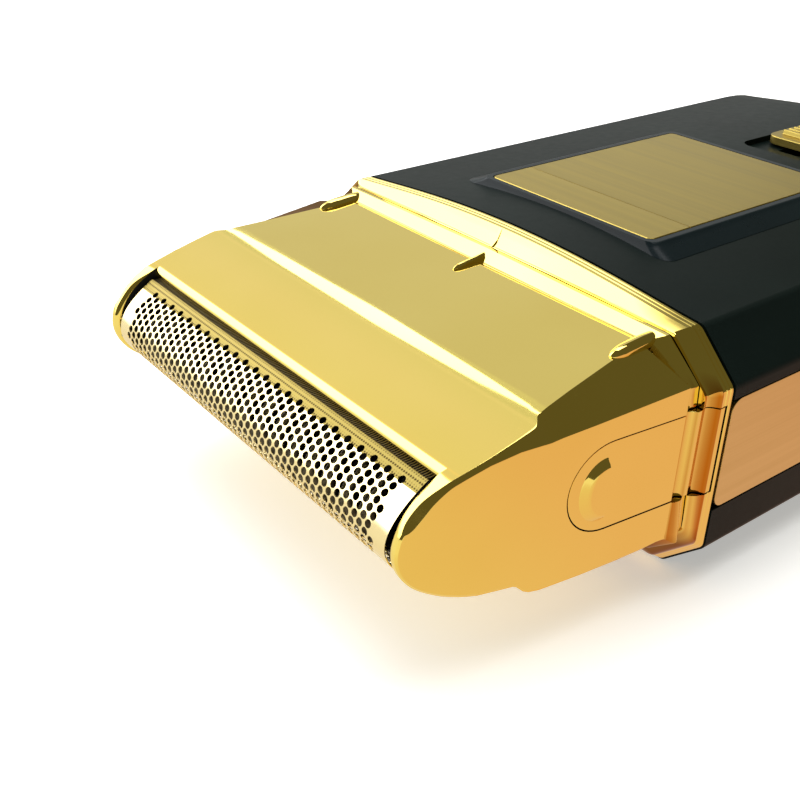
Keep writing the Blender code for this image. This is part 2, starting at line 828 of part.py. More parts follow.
def cut_front_openings(shell):
    """The switch's shallow recess and slot, and the lamp's hole."""
    mid = (KNOB_START_Y + KNOB_END_Y - SWITCH_TRAVEL) / 2
    half = (KNOB_END_Y - KNOB_START_Y + SWITCH_TRAVEL) / 2
    opening = rounded_box((-0.0053, mid - half - 0.0008), (0.0053, mid + half + 0.0008), 0.002)
    cut(
        shell,
        (opening, "Z", 0.0056, 0.01),
        (rect(-0.0016, mid - 0.0040, 0.0016, mid + 0.0040), "Z", 0, 0.01),
        (circle(0, LED_Y, 0.0018, 14), "Z", 0, 0.01),
        (plate_outline(GAP), "Z", PLATE_FLOOR_Z, 0.01),
    )


def make_bezel_and_plate():
    """The raised surround on the front and the blank plate that sits in it."""
    base = rounded_box((-0.0160, 0.0362), (0.0160, PLATE_END_Y + 0.0016), 0.0016)
    top = rounded_box((-0.0131, 0.0369), (0.0131, PLATE_END_Y + 0.0008), 0.0010)
    bm = bmesh.new()
    loft(bm, [[(x, y, 0.0052) for x, y in base], [(x, y, PLATE_TOP_Z - 0.0001) for x, y in top]])
    bezel = from_bmesh("plate_bezel", bm, "dark_plastic")
    boolean(bezel, body_loft("bezel_seat", -GAP), "DIFFERENCE")
    cut(bezel, (plate_outline(GAP), "Z", 0.0, 0.01))
    plate = (plate_outline(), "Z", PLATE_FLOOR_Z + GAP, PLATE_TOP_Z)
    solid("name_plate", "brushed_gold", plate)


def plate_outline(margin=0.0):
    half = PLATE_HALF_WIDTH + margin
    low, high = PLATE_START_Y - margin, PLATE_END_Y + margin
    return rounded_box((-half, low), (half, high), 0.0006)


def make_side_inlays():
    for name, side in SIDES.items():
        strip = rounded_box((INLAY["start"], INLAY["low"]), (INLAY["end"], INLAY["high"]), 0.0013)
        x0, x1 = sorted((side * (BODY_HALF_WIDTH - INLAY["depth"]), side * BODY_HALF_WIDTH))
        solid(f"side_inlay_{name}", "brushed_gold", (strip, "X", x0, x1))


# The inside of the body


def make_chassis():
    """The tray inside the body: motor bulkhead, motor walls, cell floor and board posts."""
    z = MOTOR_Z
    chassis = solid(
        "chassis",
        "grey_plastic",
        (rect(-0.0220, 0.0390, 0.0220, 0.0925), "Z", -0.0168, -0.0154),
        (rect(-0.0125, 0.0333, 0.0125, 0.0352), "Z", -0.0168, 0.0028),
        (rect(-0.0125, 0.0345, 0.0125, 0.0400), "Z", -0.0168, -0.0154),
        (rect(-0.0119, 0.0340, -0.0107, 0.0660), "Z", -0.0160, -0.0010),
        (rect(0.0107, 0.0340, 0.0119, 0.0660), "Z", -0.0160, -0.0010),
        (circle(-0.0080, BOARD_SCREW_Y, 0.0022, 12), "Z", -0.0160, -0.0012),
        (circle(0.0080, BOARD_SCREW_Y, 0.0022, 12), "Z", -0.0160, -0.0012),
    )
    cut(
        chassis,
        (circle(0, z, 0.0034, 16), "Y", 0.0300, 0.0354),
        *[(circle(side * 0.0070, z, 0.0012, 10), "Y", 0.0300, 0.0360) for side in (-1, 1)],
        *[(circle(side * 0.0080, BOARD_SCREW_Y, 0.0011, 10), "Z", -0.0090, 0.0010) for side in (-1, 1)],
    )
    return chassis


def make_cells():
    """Two rechargeable cells beside the motor, their tabs and the strap that joins them."""
    for name, side in SIDES.items():
        x = side * CELL_X
        solid(
            f"battery_cell_{name}",
            "cell_wrap",
            (circle(x, CELL_Z, CELL_RADIUS, 24), "Y", CELL_START_Y, CELL_END_Y),
            smooth=True,
        )
        tab = rect(x - 0.0030, CELL_Z - 0.0030, x + 0.0030, CELL_Z + 0.0030)
        solid(f"battery_tab_{name}", "nickel", (tab, "Y", CELL_START_Y - 0.0007, CELL_START_Y - 0.0003))
    strap = rect(-0.0225, CELL_Z - 0.0025, 0.0225, CELL_Z + 0.0025)
    solid("battery_strap", "nickel", (strap, "Y", CELL_END_Y + 0.0003, CELL_END_Y + 0.0007))


def make_board():
    """The circuit board with its switch, the moving knob over it, and the lamp's lens."""
    board = solid(
        "circuit_board",
        "board_green",
        (rect(-0.0105, 0.0685, 0.0105, 0.1035), "Z", -0.0009, 0.0003),
        (rect(-0.0040, 0.0970, -0.0010, 0.0990), "Z", 0.0000, 0.0012),
        (rect(0.0052, 0.0820, 0.0086, 0.0880), "Z", 0.0000, 0.0014),
    )
    cut(board, *[(circle(s * 0.0080, BOARD_SCREW_Y, 0.0012, 10), "Z", -0.0020, 0.0030) for s in (-1, 1)])
    mid = (KNOB_START_Y + KNOB_END_Y - SWITCH_TRAVEL) / 2
    footprint = rect(-0.0040, mid - 0.0060, 0.0040, mid + 0.0060)
    body = solid("switch_body", "dark_plastic", (footprint, "Z", 0.0006, 0.0036))
    cut(body, (rect(-0.0016, mid - 0.0044, 0.0016, mid + 0.0044), "Z", 0.0018, 0.0060))
    make_knob()
    stem = (circle(0, LED_Y, 0.0015, 14), "Z", 0.0016, 0.0066)
    lens = solid("lamp_lens", "clear_lens", stem, smooth=True)
    return lens


def make_knob():
    """The power switch's knob, off at the base end of its recess, ribbed across."""
    low, high = KNOB_START_Y, KNOB_END_Y
    knob = solid(
        "power_knob",
        "brushed_gold",
        (rounded_box((-0.0045, low), (0.0045, high), 0.0016), "Z", 0.0059, 0.0070),
        (rect(-0.0012, (low + high) / 2 - 0.0015, 0.0012, (low + high) / 2 + 0.0015), "Z", 0.0022, 0.0062),
        *[
            (rect(-0.0034, y - 0.0004, 0.0034, y + 0.0004), "Z", 0.0065, 0.0076)
            for y in (low + 0.0026, low + 0.0042, low + 0.0058, low + 0.0074)
        ],
    )
    return knob


def make_charge_socket():
    """The charging inlet in the base: a cup with a figure-of-eight mouth and two pins."""
    w, h, z = SOCKET["half_width"], SOCKET["half_height"], SOCKET["z"]
    socket = solid(
        "charge_socket",
        "dark_plastic",
        (rounded_box((-w, z - h), (w, z + h), 0.0020), "Y", SOCKET["start"], BODY_END_Y - 0.0003),
    )
    mouth = 0.0985
    cut(
        socket,
        (slot(0, z, 0.0076, 0.0043), "Y", mouth, 0.1100),
        *[(circle(side * 0.0043, z, 0.0010, 10), "Y", 0.0950, 0.0990) for side in (-1, 1)],
    )
    for name, side in SIDES.items():
        pin = (circle(side * 0.0043, z, 0.0007, 10), "Y", 0.0955, 0.1055)
        solid(f"charge_pin_{name}", "nickel", pin, smooth=True)


def make_screws():
    """Case screws up from the back, motor screws through the bulkhead, and board screws."""
    for name, (x, y) in SCREWS.items():
        screw = solid(
            f"case_screw_{name}",
            "steel",
            (circle(x, y, 0.0023, 14), "Z", -0.0214, -0.0198),
            (circle(x, y, 0.0011, 10), "Z", -0.0200, -0.0010),
            smooth=True,
        )
        cross_recess(screw, x, y, "Z", -0.0222, -0.0208)
    for name, side in SIDES.items():
        solid(
            f"motor_screw_{name}",
            "steel",
            (circle(side * 0.0070, MOTOR_Z, 0.0017, 12), "Y", 0.0320, 0.0330),
            (circle(side * 0.0070, MOTOR_Z, 0.0009, 10), "Y", 0.0325, 0.0390),
            smooth=True,
        )
        solid(
            f"board_screw_{name}",
            "steel",
            (circle(side * 0.0080, BOARD_SCREW_Y, 0.0018, 12), "Z", 0.0017, 0.0028),
            (circle(side * 0.0080, BOARD_SCREW_Y, 0.0008, 10), "Z", -0.0080, 0.0020),
            smooth=True,
        )


def cross_recess(screw, x, y, axis, low, high):
    long, short = 0.0013, 0.00025
    cut(
        screw,
        (rect(x - long, y - short, x + long, y + short), axis, low, high),
        (rect(x - short, y - long, x + short, y + long), axis, low, high),
    )


def make_leads():
    """Insulated wires from the cells and the motor to the circuit board."""
    for name, side, finish in (("black", -1, "black_wire"), ("red", 1, "red_wire")):
        lead(
            f"battery_lead_{name}",
            finish,
            [
                (side * 0.0198, 0.0372, -0.0030),
                (side * 0.0185, 0.0385, 0.0012),
                (side * 0.0160, 0.0450, 0.0022),
                (side * 0.0140, 0.0580, 0.0018),
                (side * 0.0128, 0.0690, 0.0015),
                (side * 0.0119, 0.0760, 0.0014),
                (side * 0.0094, 0.0805, 0.0012),
            ],
        )
        lead(
            f"motor_lead_{name}",
            finish,
            [
                (side * 0.0083, 0.0681, -0.0060),
                (side * 0.0070, 0.0700, -0.0058),
                (side * 0.0045, 0.0720, -0.0048),
                (side * 0.0040, 0.0740, -0.0020),
            ],
        )


DATUM = None
MATERIALS = {}


def main():
    global DATUM, MATERIALS
    clear_scene()
    MATERIALS = make_materials()
    DATUM = bpy.data.objects.new("lip_datum", None)
    bpy.context.scene.collection.objects.link(DATUM)
    DATUM.location = LIP_TO_CENTRE

    make_head_frame()
    make_foil()
    make_foil_carrier()
    make_foil_springs()
    make_cutter_block()
    make_drive()
    make_neck_deck()
    make_hair_seal()
    make_eccentric()
    make_motor()
    make_release_buttons()
    make_neck_flange()
    make_shells()
    make_bezel_and_plate()
    make_side_inlays()
    make_chassis()
    make_cells()
    make_board()
    make_charge_socket()
    make_screws()
    make_leads()


main()
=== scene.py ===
"""Foil shaver: the pieces that show and their finishes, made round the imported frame.

Shapes are worked out in millimetres from the shaver's datum, the middle of the head's front lip:
X across the shaver, Y from the foil towards the base, Z out of the front face.
"""
import json
import math

import bmesh
import bpy
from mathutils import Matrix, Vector


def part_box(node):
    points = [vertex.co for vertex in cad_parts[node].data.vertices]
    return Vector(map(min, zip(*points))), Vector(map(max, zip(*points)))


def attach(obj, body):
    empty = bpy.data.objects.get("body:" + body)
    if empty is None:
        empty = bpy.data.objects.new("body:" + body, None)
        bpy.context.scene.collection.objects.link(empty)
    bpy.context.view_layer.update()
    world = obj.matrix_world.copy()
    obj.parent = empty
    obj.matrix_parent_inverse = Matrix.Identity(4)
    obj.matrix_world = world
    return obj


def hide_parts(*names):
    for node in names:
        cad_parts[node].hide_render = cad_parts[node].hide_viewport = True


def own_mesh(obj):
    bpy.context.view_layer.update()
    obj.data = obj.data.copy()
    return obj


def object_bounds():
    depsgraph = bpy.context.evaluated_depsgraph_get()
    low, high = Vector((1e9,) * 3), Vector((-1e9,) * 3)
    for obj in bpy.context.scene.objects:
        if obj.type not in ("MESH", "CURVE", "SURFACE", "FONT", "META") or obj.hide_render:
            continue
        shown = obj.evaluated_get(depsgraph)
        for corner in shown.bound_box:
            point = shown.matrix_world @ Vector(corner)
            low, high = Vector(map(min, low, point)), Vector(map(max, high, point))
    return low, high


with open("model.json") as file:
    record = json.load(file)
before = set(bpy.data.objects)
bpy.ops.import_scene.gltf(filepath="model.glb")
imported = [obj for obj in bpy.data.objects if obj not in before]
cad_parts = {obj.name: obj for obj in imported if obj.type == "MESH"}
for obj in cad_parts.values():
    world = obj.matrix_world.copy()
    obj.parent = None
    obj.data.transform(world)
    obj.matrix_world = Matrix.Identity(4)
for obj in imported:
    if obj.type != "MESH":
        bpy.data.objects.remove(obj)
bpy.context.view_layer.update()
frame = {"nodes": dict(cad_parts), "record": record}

MM = 0.001
FOIL_TIP = -5.7  # the head's foremost point, along Y
LIP_HEIGHT = 22.4  # the lip, above the back that the shaver lies on
LIP = Vector((0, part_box("head_frame")[0].y - FOIL_TIP * MM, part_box("back_shell")[0].z + LIP_HEIGHT * MM))

# The head
MID_Z = -6.2  # the head's middle plane
CHEEK_INNER = 24.9
SIDE_AT_LIP, SIDE_FLARE = 26.7, 0.105
CREASE = (9.4, 2.25)
FACE_END = (24.5, 3.4)
PILL_Z = -6.1
PILL_START, PILL_HALF = 11.65, 4.6
RIB_Y, EDGE_Y, FLANGE_END = 26.55, 28.1, 29.6
# The body
BODY_END = 108.3
BACK_Z = -22.4
PARTING_Z = -7.3
INLAY = {"start": 30.0, "end": 98.5, "low": -13.35, "high": -1.25}
PLATE = {"half": 12.28, "start": 37.67, "end": 70.0, "top": 6.9, "floor": 5.9}
KNOB = {"half": 4.5, "start": 80.0, "end": 90.0}
SOCKET = {"half": 8.8, "tall": 5.6, "z": -8.0}
LAMP_Y = 96.0
# The foil
ARCH_MID = -5.95
ARCH_HALF = 5.0
ARCH_CREST = -5.47
ARCH_CURVE = 0.17
FOIL_HALF = 24.25
BORDER_START = 0.75  # the plain border's width, in from the arch's end
# The thumb grip's straight side along Y, and its middle across the button
GRIP_Y, GRIP_Z = 15.6, -6.3
# Small parts
LAMP_RADIUS = 1.5
PIN_X, PIN_RADIUS = 4.3, 0.7
SCREW_HEAD, SCREW_STEM = 2.3, 1.1
WIRE = 0.2


# Meshes


def mix(a, b, t):
    return a + (b - a) * t


def rounded(corners, steps=6, closed=True):
    """An outline from (a, b, radius) corners, each rounded off by an arc of its own radius."""
    points = []
    last = len(corners) - 1
    for i, (a, b, radius) in enumerate(corners):
        here = Vector((a, b))
        if radius == 0 or (not closed and i in (0, last)):
            points.append((a, b))
            continue
        into = (Vector(corners[i - 1][:2]) - here).normalized()
        out = (Vector(corners[(i + 1) % len(corners)][:2]) - here).normalized()
        half = into.angle(out) / 2
        centre = here + (into + out).normalized() * (radius / math.sin(half))
        reach = radius / math.tan(half)
        first, final = here + into * reach - centre, here + out * reach - centre
        start = math.atan2(first.y, first.x)
        sweep = (math.atan2(final.y, final.x) - start + math.pi) % (2 * math.pi) - math.pi
        for k in range(steps + 1):
            angle = start + sweep * k / steps
            points.append((centre.x + radius * math.cos(angle), centre.y + radius * math.sin(angle)))
    return points


def rounded_box(low, high, radius, steps=6):
    corners = ((high[0], high[1]), (low[0], high[1]), (low[0], low[1]), (high[0], low[1]))
    return rounded([(a, b, radius) for a, b in corners], steps)


def smooth_curve(points, steps):
    """Catmull-Rom points through a list of 2-D points."""
    knots = [Vector(p) for p in points]
    knots = [knots[0] * 2 - knots[1], *knots, knots[-1] * 2 - knots[-2]]
    made = []
    for a, b, c, d in zip(knots, knots[1:], knots[2:], knots[3:]):
        for i in range(steps):
            t = i / steps
            made.append(
                (b * 2 + (c - a) * t + (a * 2 - b * 5 + c * 4 - d) * t**2
                 + (b * 3 - a - c * 3 + d) * t**3) / 2
            )
    return [tuple(p) for p in (*made, knots[-2])]


def skin(bm, rings, caps=True):
    """Joins closed rings of equally many points."""
    rows = [[bm.verts.new(p) for p in ring] for ring in rings]
    count = len(rows[0])
    for first, second in zip(rows, rows[1:]):
        for i in range(count):
            j = (i + 1) % count
            bm.faces.new((first[i], first[j], second[j], second[i]))
    if caps:
        bm.faces.new(rows[0])
        bm.faces.new(reversed(rows[-1]))
    return rows


PLACES = {
    "X": lambda p, d: (d, p[0], p[1]),
    "Y": lambda p, d: (p[0], d, p[1]),
    "Z": lambda p, d: (p[0], p[1], d),
}


def prism(outline, axis, low, high, bm=None):
    bm = bm or bmesh.new()
    skin(bm, [[PLACES[axis](p, depth) for p in outline] for depth in (low, high)])
    return bm


def raw_object(name, bm, finishes=()):
    """An object still in datum millimetres, its faces pointing out."""
    bmesh.ops.recalc_face_normals(bm, faces=bm.faces)
    mesh = bpy.data.meshes.new(name)
    bm.to_mesh(mesh)
    bm.free()
    for finish in finishes:
        mesh.materials.append(finish)
    made = bpy.data.objects.new(name, mesh)
    bpy.context.scene.collection.objects.link(made)
    return made


def settle(made):
    """Turns an object's modifiers into its mesh."""
    view = bpy.context.evaluated_depsgraph_get()
    old = made.data
    new = bpy.data.meshes.new_from_object(made.evaluated_get(view), depsgraph=view)
    made.modifiers.clear()
    made.data = new
    new.name = made.name
    bpy.data.meshes.remove(old)
    return made


def carve(made, *tools, operation="DIFFERENCE"):
    """Cuts tools out of an object, or joins them to it, and removes them."""
    for tool_mesh in tools:
        tool = raw_object("tool", tool_mesh) if isinstance(tool_mesh, bmesh.types.BMesh) else tool_mesh
        step = made.modifiers.new("carve", "BOOLEAN")
        step.operation, step.solver, step.object = operation, "EXACT", tool
        settle(made)
        spent = tool.data
        bpy.data.objects.remove(tool)
        bpy.data.meshes.remove(spent)
    return made


def cube(low, high):
    (x0, y0, z0), (x1, y1, z1) = low, high
    return prism([(x0, y0), (x1, y0), (x1, y1), (x0, y1)], "Z", z0, z1)


def both_ways(side, near, far):
    """The low and high end of a stretch that lies on one side of the middle."""
    return sorted((side * near, side * far))


def circle(a, b, radius, sides=32):
    turn = 2 * math.pi / sides
    return [(a + radius * math.cos(turn * i), b + radius * math.sin(turn * i)) for i in range(sides)]


def finish_piece(made, body, finishes, replaces=(), bevel=0.0, segments=3, angle=30, keep=35):
    """Bevels, shades and places a piece, gives it its finishes, and ties it to its body."""
    if bevel:
        edge = made.modifiers.new("edges", "BEVEL")
        edge.width, edge.segments, edge.limit_method = bevel, segments, "ANGLE"
        edge.angle_limit = math.radians(angle)
        settle(made)
    mesh = made.data
    mesh.shade_smooth()
    mesh.set_sharp_from_angle(angle=math.radians(keep))
    normals = made.modifiers.new("normals", "WEIGHTED_NORMAL")
    normals.keep_sharp = True
    normals.weight = 80
    settle(made)
    return place_piece(made, body, finishes, replaces)


def place_piece(made, body, finishes, replaces=()):
    mesh = made.data
    for vertex in mesh.vertices:
        vertex.co = vertex.co * MM + LIP
    if not mesh.materials:
        for finish in finishes:
            mesh.materials.append(finish)
    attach(made, body)
    if replaces:
        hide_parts(*replaces)
    return made


# Finishes


def nodes_of(name):
    made = bpy.data.materials.new(name)
    made.use_nodes = True
    tree = made.node_tree
    return made, tree, tree.nodes["Principled BSDF"]


def add(tree, kind, **values):
    """A node with its properties and its input values set."""
    node = tree.nodes.new(kind)
    for name, value in values.items():
        if hasattr(node, name):
            setattr(node, name, value)
        else:
            node.inputs[name.replace("_", " ")].default_value = value
    return node


def ramp(tree, source, stops):
    """A colour ramp over a value."""
    node = tree.nodes.new("ShaderNodeValToRGB")
    band = node.color_ramp
    while len(band.elements) < len(stops):
        band.elements.new(0.5)
    for element, (where, colour) in zip(band.elements, stops):
        element.position = where
        element.color = (*colour, 1) if len(colour) == 3 else colour
    tree.links.new(source, node.inputs["Fac"])
    return node.outputs["Color"]


def math_node(tree, operation, a, b=None, c=None):
    node = tree.nodes.new("ShaderNodeMath")
    node.operation = operation
    for socket, value in zip(node.inputs, (a, b, c)):
        if value is None:
            continue
        if isinstance(value, (int, float)):
            socket.default_value = value
        else:
            tree.links.new(value, socket)
    return node.outputs["Value"]


def blend(tree, factor, a, b):
    """A colour between two others."""
    node = tree.nodes.new("ShaderNodeMix")
    node.data_type = "RGBA"
    for socket, value in ((node.inputs[0], factor), (node.inputs[6], a), (node.inputs[7], b)):
        if isinstance(value, tuple):
            socket.default_value = (*value, 1)
        else:
            tree.links.new(value, socket)
    return node.outputs[2]


def split(tree, vector):
    node = tree.nodes.new("ShaderNodeSeparateXYZ")
    tree.links.new(vector, node.inputs["Vector"])
    return node.outputs


def stretch(tree, scale):
    """Object coordinates scaled along each axis."""
    place = tree.nodes.new("ShaderNodeTexCoord")
    mapping = add(tree, "ShaderNodeMapping")
    mapping.inputs["Scale"].default_value = scale
    tree.links.new(place.outputs["Object"], mapping.inputs["Vector"])
    return mapping.outputs["Vector"]


def noise(tree, scale, detail=3.0, roughness=0.5):
    node = add(tree, "ShaderNodeTexNoise", Detail=detail, Roughness=roughness)
    node.inputs["Scale"].default_value = 1.0
    tree.links.new(stretch(tree, scale), node.inputs["Vector"])
    return node.outputs["Fac"]


def tone(tree, value, low, high):
    """A number that runs from low to high with a value from 0 to 1."""
    node = add(tree, "ShaderNodeMapRange")
    node.inputs["To Min"].default_value = low
    node.inputs["To Max"].default_value = high
    tree.links.new(value, node.inputs["Value"])
    return node.outputs["Result"]


def bump(tree, shader, height, strength, distance):
    node = add(tree, "ShaderNodeBump", Strength=strength, Distance=distance)
    tree.links.new(height, node.inputs["Height"])
    tree.links.new(node.outputs["Normal"], shader.inputs["Normal"])


def varied(name, dark, light, rough, metallic=0.0, grain=(400, 400, 400), relief=0.1, depth=0.00003,
           **sockets):
    """A finish whose colour and roughness vary with a soft cloud and whose surface has a fine grain."""
    made, tree, shader = nodes_of(name)
    cloud = noise(tree, (60, 60, 60), 2.0)
    tree.links.new(ramp(tree, cloud, ((0.3, dark), (0.7, light))), shader.inputs["Base Color"])
    speck = noise(tree, grain, 4.0, 0.6)
    tree.links.new(tone(tree, speck, rough[0], rough[1]), shader.inputs["Roughness"])
    bump(tree, shader, speck, relief, depth)
    shader.inputs["Metallic"].default_value = metallic
    for socket, value in sockets.items():
        shader.inputs[socket.replace("_", " ")].default_value = value
    return made


def make_finishes():
    return {
        "polished_gold": plated_gold("polished_gold_plate", (0.03, 0.07)),
        "gold_button": plated_gold("gold_button_plate", (0.04, 0.09)),
        "foil_gold": foil_finish(),
        "brushed_plate": brushed(
            "brushed_gold_plate", (0.44, 0.33, 0.075), (0.56, 0.43, 0.11), (12, 900, 900),
        ),
        "brushed_side": brushed("brushed_gold_side", (0.70, 0.54, 0.22), (0.82, 0.65, 0.30), (900, 12, 900)),
        "black_shell": varied(
            "black_satin_casing", (0.0035, 0.0065, 0.006), (0.005, 0.0095, 0.0085), (0.34, 0.44),
            grain=(900, 900, 900), relief=0.12, depth=0.00002, Specular_IOR_Level=0.07,
        ),
        "bezel": varied(
            "blue_black_surround", (0.004, 0.008, 0.010), (0.006, 0.012, 0.015), (0.24, 0.34),
            grain=(700, 700, 700), relief=0.08, depth=0.00002, Specular_IOR_Level=0.14,
        ),
        "dark_plastic": varied(
            "dark_moulding", (0.006, 0.006, 0.007), (0.010, 0.010, 0.011), (0.45, 0.6),
            grain=(1200, 1200, 1200), relief=0.2,
        ),
        "grey_plastic": varied(
            "grey_moulding", (0.24, 0.25, 0.26), (0.32, 0.33, 0.34), (0.4, 0.55),
            grain=(900, 900, 900), relief=0.15,
        ),
        "steel": brushed("ground_steel", (0.52, 0.53, 0.55), (0.68, 0.69, 0.70), (1200, 60, 60), 0.28),
        "spring_steel": brushed("spring_wire", (0.42, 0.42, 0.43), (0.60, 0.60, 0.61), (500, 500, 500), 0.32),
        "zinc_can": varied(
            "zinc_plated_can", (0.50, 0.51, 0.52), (0.70, 0.71, 0.72), (0.3, 0.5), 1.0,
            grain=(300, 300, 300), relief=0.1,
        ),
        "rubber": varied(
            "black_rubber", (0.015, 0.015, 0.016), (0.03, 0.03, 0.031), (0.7, 0.9),
            grain=(1500, 1500, 1500), relief=0.3,
        ),
        "cell_wrap": varied(
            "cell_sleeve", (0.02, 0.09, 0.28), (0.03, 0.13, 0.36), (0.25, 0.35),
            grain=(150, 40, 150), relief=0.15,
        ),
        "board_green": varied(
            "board_mask", (0.008, 0.09, 0.03), (0.014, 0.14, 0.05), (0.3, 0.45),
            grain=(500, 500, 500), relief=0.1,
        ),
        "nickel": brushed("nickel_plating", (0.60, 0.58, 0.52), (0.74, 0.72, 0.66), (400, 60, 400), 0.25),
        "clear_lens": varied(
            "lamp_lens_clear", (0.80, 0.86, 0.84), (0.88, 0.92, 0.90), (0.05, 0.12),
            grain=(300, 300, 300), relief=0.05, Transmission_Weight=0.6, IOR=1.49,
        ),
        "red_wire": varied("red_lead_sleeve", (0.40, 0.015, 0.01), (0.52, 0.03, 0.02), (0.35, 0.5)),
        "black_wire": varied("black_lead_sleeve", (0.012, 0.012, 0.012), (0.02, 0.02, 0.02), (0.35, 0.5)),
        "magnet": varied("sintered_magnet", (0.06, 0.06, 0.065), (0.11, 0.11, 0.115), (0.5, 0.7), 0.4),
        "comb_steel": brushed("comb_steel", (0.05, 0.038, 0.02), (0.09, 0.07, 0.04), (900, 60, 60), 0.45),
        "blackened_steel": brushed(
            "blackened_steel", (0.02, 0.02, 0.02), (0.05, 0.05, 0.05), (900, 60, 60), 0.5,
        ),
        # The blades' steel is painted far darker than bright steel. This is painted shade inside the head, seen
        # through the foil's holes.
        "blade_steel": brushed(
            "blade_steel_darkened_as_shade", (0.09, 0.08, 0.06), (0.18, 0.16, 0.12), (900, 60, 60), 0.3,
        ),
    }


def plated_gold(name, rough):
    """Polished plating, with a painted reflection: deep orange where the hollows round the neck's sides and
    underside face inwards, and painted shade, dark brown, on the neck's underside.
    """
    made, tree, shader = nodes_of(name)
    cloud = noise(tree, (60, 60, 60), 2.0)
    colour = ramp(tree, cloud, ((0.3, (0.94, 0.735, 0.19)), (0.7, (0.97, 0.77, 0.215))))
    _, y, z = split(tree, add(tree, "ShaderNodeTexCoord").outputs["Object"])
    along = math_node(tree, "MULTIPLY", math_node(tree, "SUBTRACT", y, LIP.y + 24 * MM), 0.2 / MM)
    grey = [(at, (v, v, v)) for at, v in (
        (0.09, 0.0), (0.12, 0.9), (0.18, 0.75), (0.28, 0.15), (0.35, 0.05), (0.40, 0.55), (0.43, 0.0),
        (0.54, 0.0), (0.57, 0.4), (0.62, 0.15), (0.70, 0.7), (0.78, 1.0), (0.825, 0.9), (0.84, 0.0),
    )]
    # Painted reflection: a deep orange in the neck's hollows below the front face, standing in for light
    # bounced between the plated walls.
    hollow = ramp(tree, along, grey)
    below = math_node(tree, "MULTIPLY", math_node(tree, "SUBTRACT", LIP.z + 1.6 * MM, z), 0.6 / MM)
    below = math_node(tree, "MINIMUM", math_node(tree, "MAXIMUM", below, 0.0), 1.0)
    warm = blend(tree, math_node(tree, "MULTIPLY", hollow, below), colour, (0.55, 0.18, 0.012))
    # Painted shade: a dark brown on the neck's underside.
    under = math_node(tree, "MULTIPLY", math_node(tree, "SUBTRACT", LIP.z - 14.5 * MM, z), 0.3 / MM)
    under = math_node(tree, "MINIMUM", math_node(tree, "MAXIMUM", under, 0.0), 0.85)
    neck = math_node(tree, "COMPARE", along, 0.46, 0.37)
    warm = blend(tree, math_node(tree, "MULTIPLY", under, neck), warm, (0.17, 0.05, 0.012))
    tree.links.new(warm, shader.inputs["Base Color"])
    speck = noise(tree, (90, 90, 90), 4.0, 0.6)
    tree.links.new(tone(tree, speck, rough[0], rough[1]), shader.inputs["Roughness"])
    bump(tree, shader, speck, 0.03, 0.00002)
    shader.inputs["Metallic"].default_value = 1.0
    return made


def brushed(name, dark, light, grain, rough=0.34):
    """A metal with fine lines along one axis."""
    made, tree, shader = nodes_of(name)
    lines = noise(tree, grain, 5.0, 0.65)
    tree.links.new(ramp(tree, lines, ((0.25, dark), (0.75, light))), shader.inputs["Base Color"])
    tree.links.new(tone(tree, lines, rough - 0.06, rough + 0.10), shader.inputs["Roughness"])
    bump(tree, shader, lines, 0.12, 0.00003)
    shader.inputs["Metallic"].default_value = 1.0
    return made


def foil_finish():
    """Thin gold foil, with a fine dimpled texture on its plain borders."""
    made, tree, shader = nodes_of("gold_foil")
    cloud = noise(tree, (80, 80, 80), 2.0)
    colour = ramp(tree, cloud, ((0.3, (0.93, 0.77, 0.40)), (0.7, (0.97, 0.83, 0.47))))
    dimples = add(tree, "ShaderNodeTexVoronoi", feature="F1", Randomness=0.0)
    dimples.inputs["Scale"].default_value = 1.0
    tree.links.new(stretch(tree, (3400, 3400, 3400)), dimples.inputs["Vector"])
    place = split(tree, add(tree, "ShaderNodeTexCoord").outputs["Object"])
    off = math_node(tree, "ABSOLUTE", math_node(tree, "SUBTRACT", place[2], LIP.z + ARCH_MID * MM))
    border = math_node(tree, "GREATER_THAN", off, (ARCH_HALF - BORDER_START) * MM)
    # On the borders, each dimple's pit is painted near black as painted shade in the dimple, and the land
    # between the pits is painted a darker tan than the rest of the foil.
    pit, land = (0.08, 0.055, 0.015), (0.36, 0.28, 0.075)
    dots = ramp(tree, dimples.outputs["Distance"], ((0.28, pit), (0.45, land)))
    plain = blend(tree, border, colour, dots)
    height = math_node(tree, "MULTIPLY", dimples.outputs["Distance"], border)
    bump(tree, shader, height, 0.35, 0.00006)
    tree.links.new(plain, shader.inputs["Base Color"])
    soft = math_node(tree, "MULTIPLY", border, 0.28)
    rough = math_node(tree, "ADD", tone(tree, cloud, 0.16, 0.24), soft)
    tree.links.new(rough, shader.inputs["Roughness"])
    shader.inputs["Metallic"].default_value = 1.0
    return made


FINISHES = make_finishes()


# The head


def side_x(y):
    """The head's half width, which grows evenly towards the neck."""
    return SIDE_AT_LIP + SIDE_FLARE * y


def row(y, z, inward, flat, drop, tight, rim):
    """Half a cross row, from the middle to the side: flat, then a chamfer, then the side face.

    Round the nose the flat falls away towards the mouth, which makes the cheek's full rim.
    """
    ny, nz = inward
    deep = drop + 0.6
    corners = (
        (flat - 0.3, 0, 0),
        (flat, 0, tight),
        (side_x(y + ny * drop), drop, tight),
        (side_x(y + ny * deep), deep, 0),
    )
    inner = min(CHEEK_INNER, flat - 0.9)
    outline = [(0, rim), (inner - 0.5, rim)]
    width = flat - 0.35 - inner
    for k in range(9):
        a = math.pi / 2 * k / 8
        outline.append((inner + width * (1 - math.cos(a)), rim * (1 - math.sin(a))))
    outline += rounded(corners, 4, closed=False)
    return [(x, y + ny * depth, z + nz * depth) for x, depth in outline]


def full_row(half):
    return [*reversed(half), *[(-x, y, z) for x, y, z in half[1:]]]


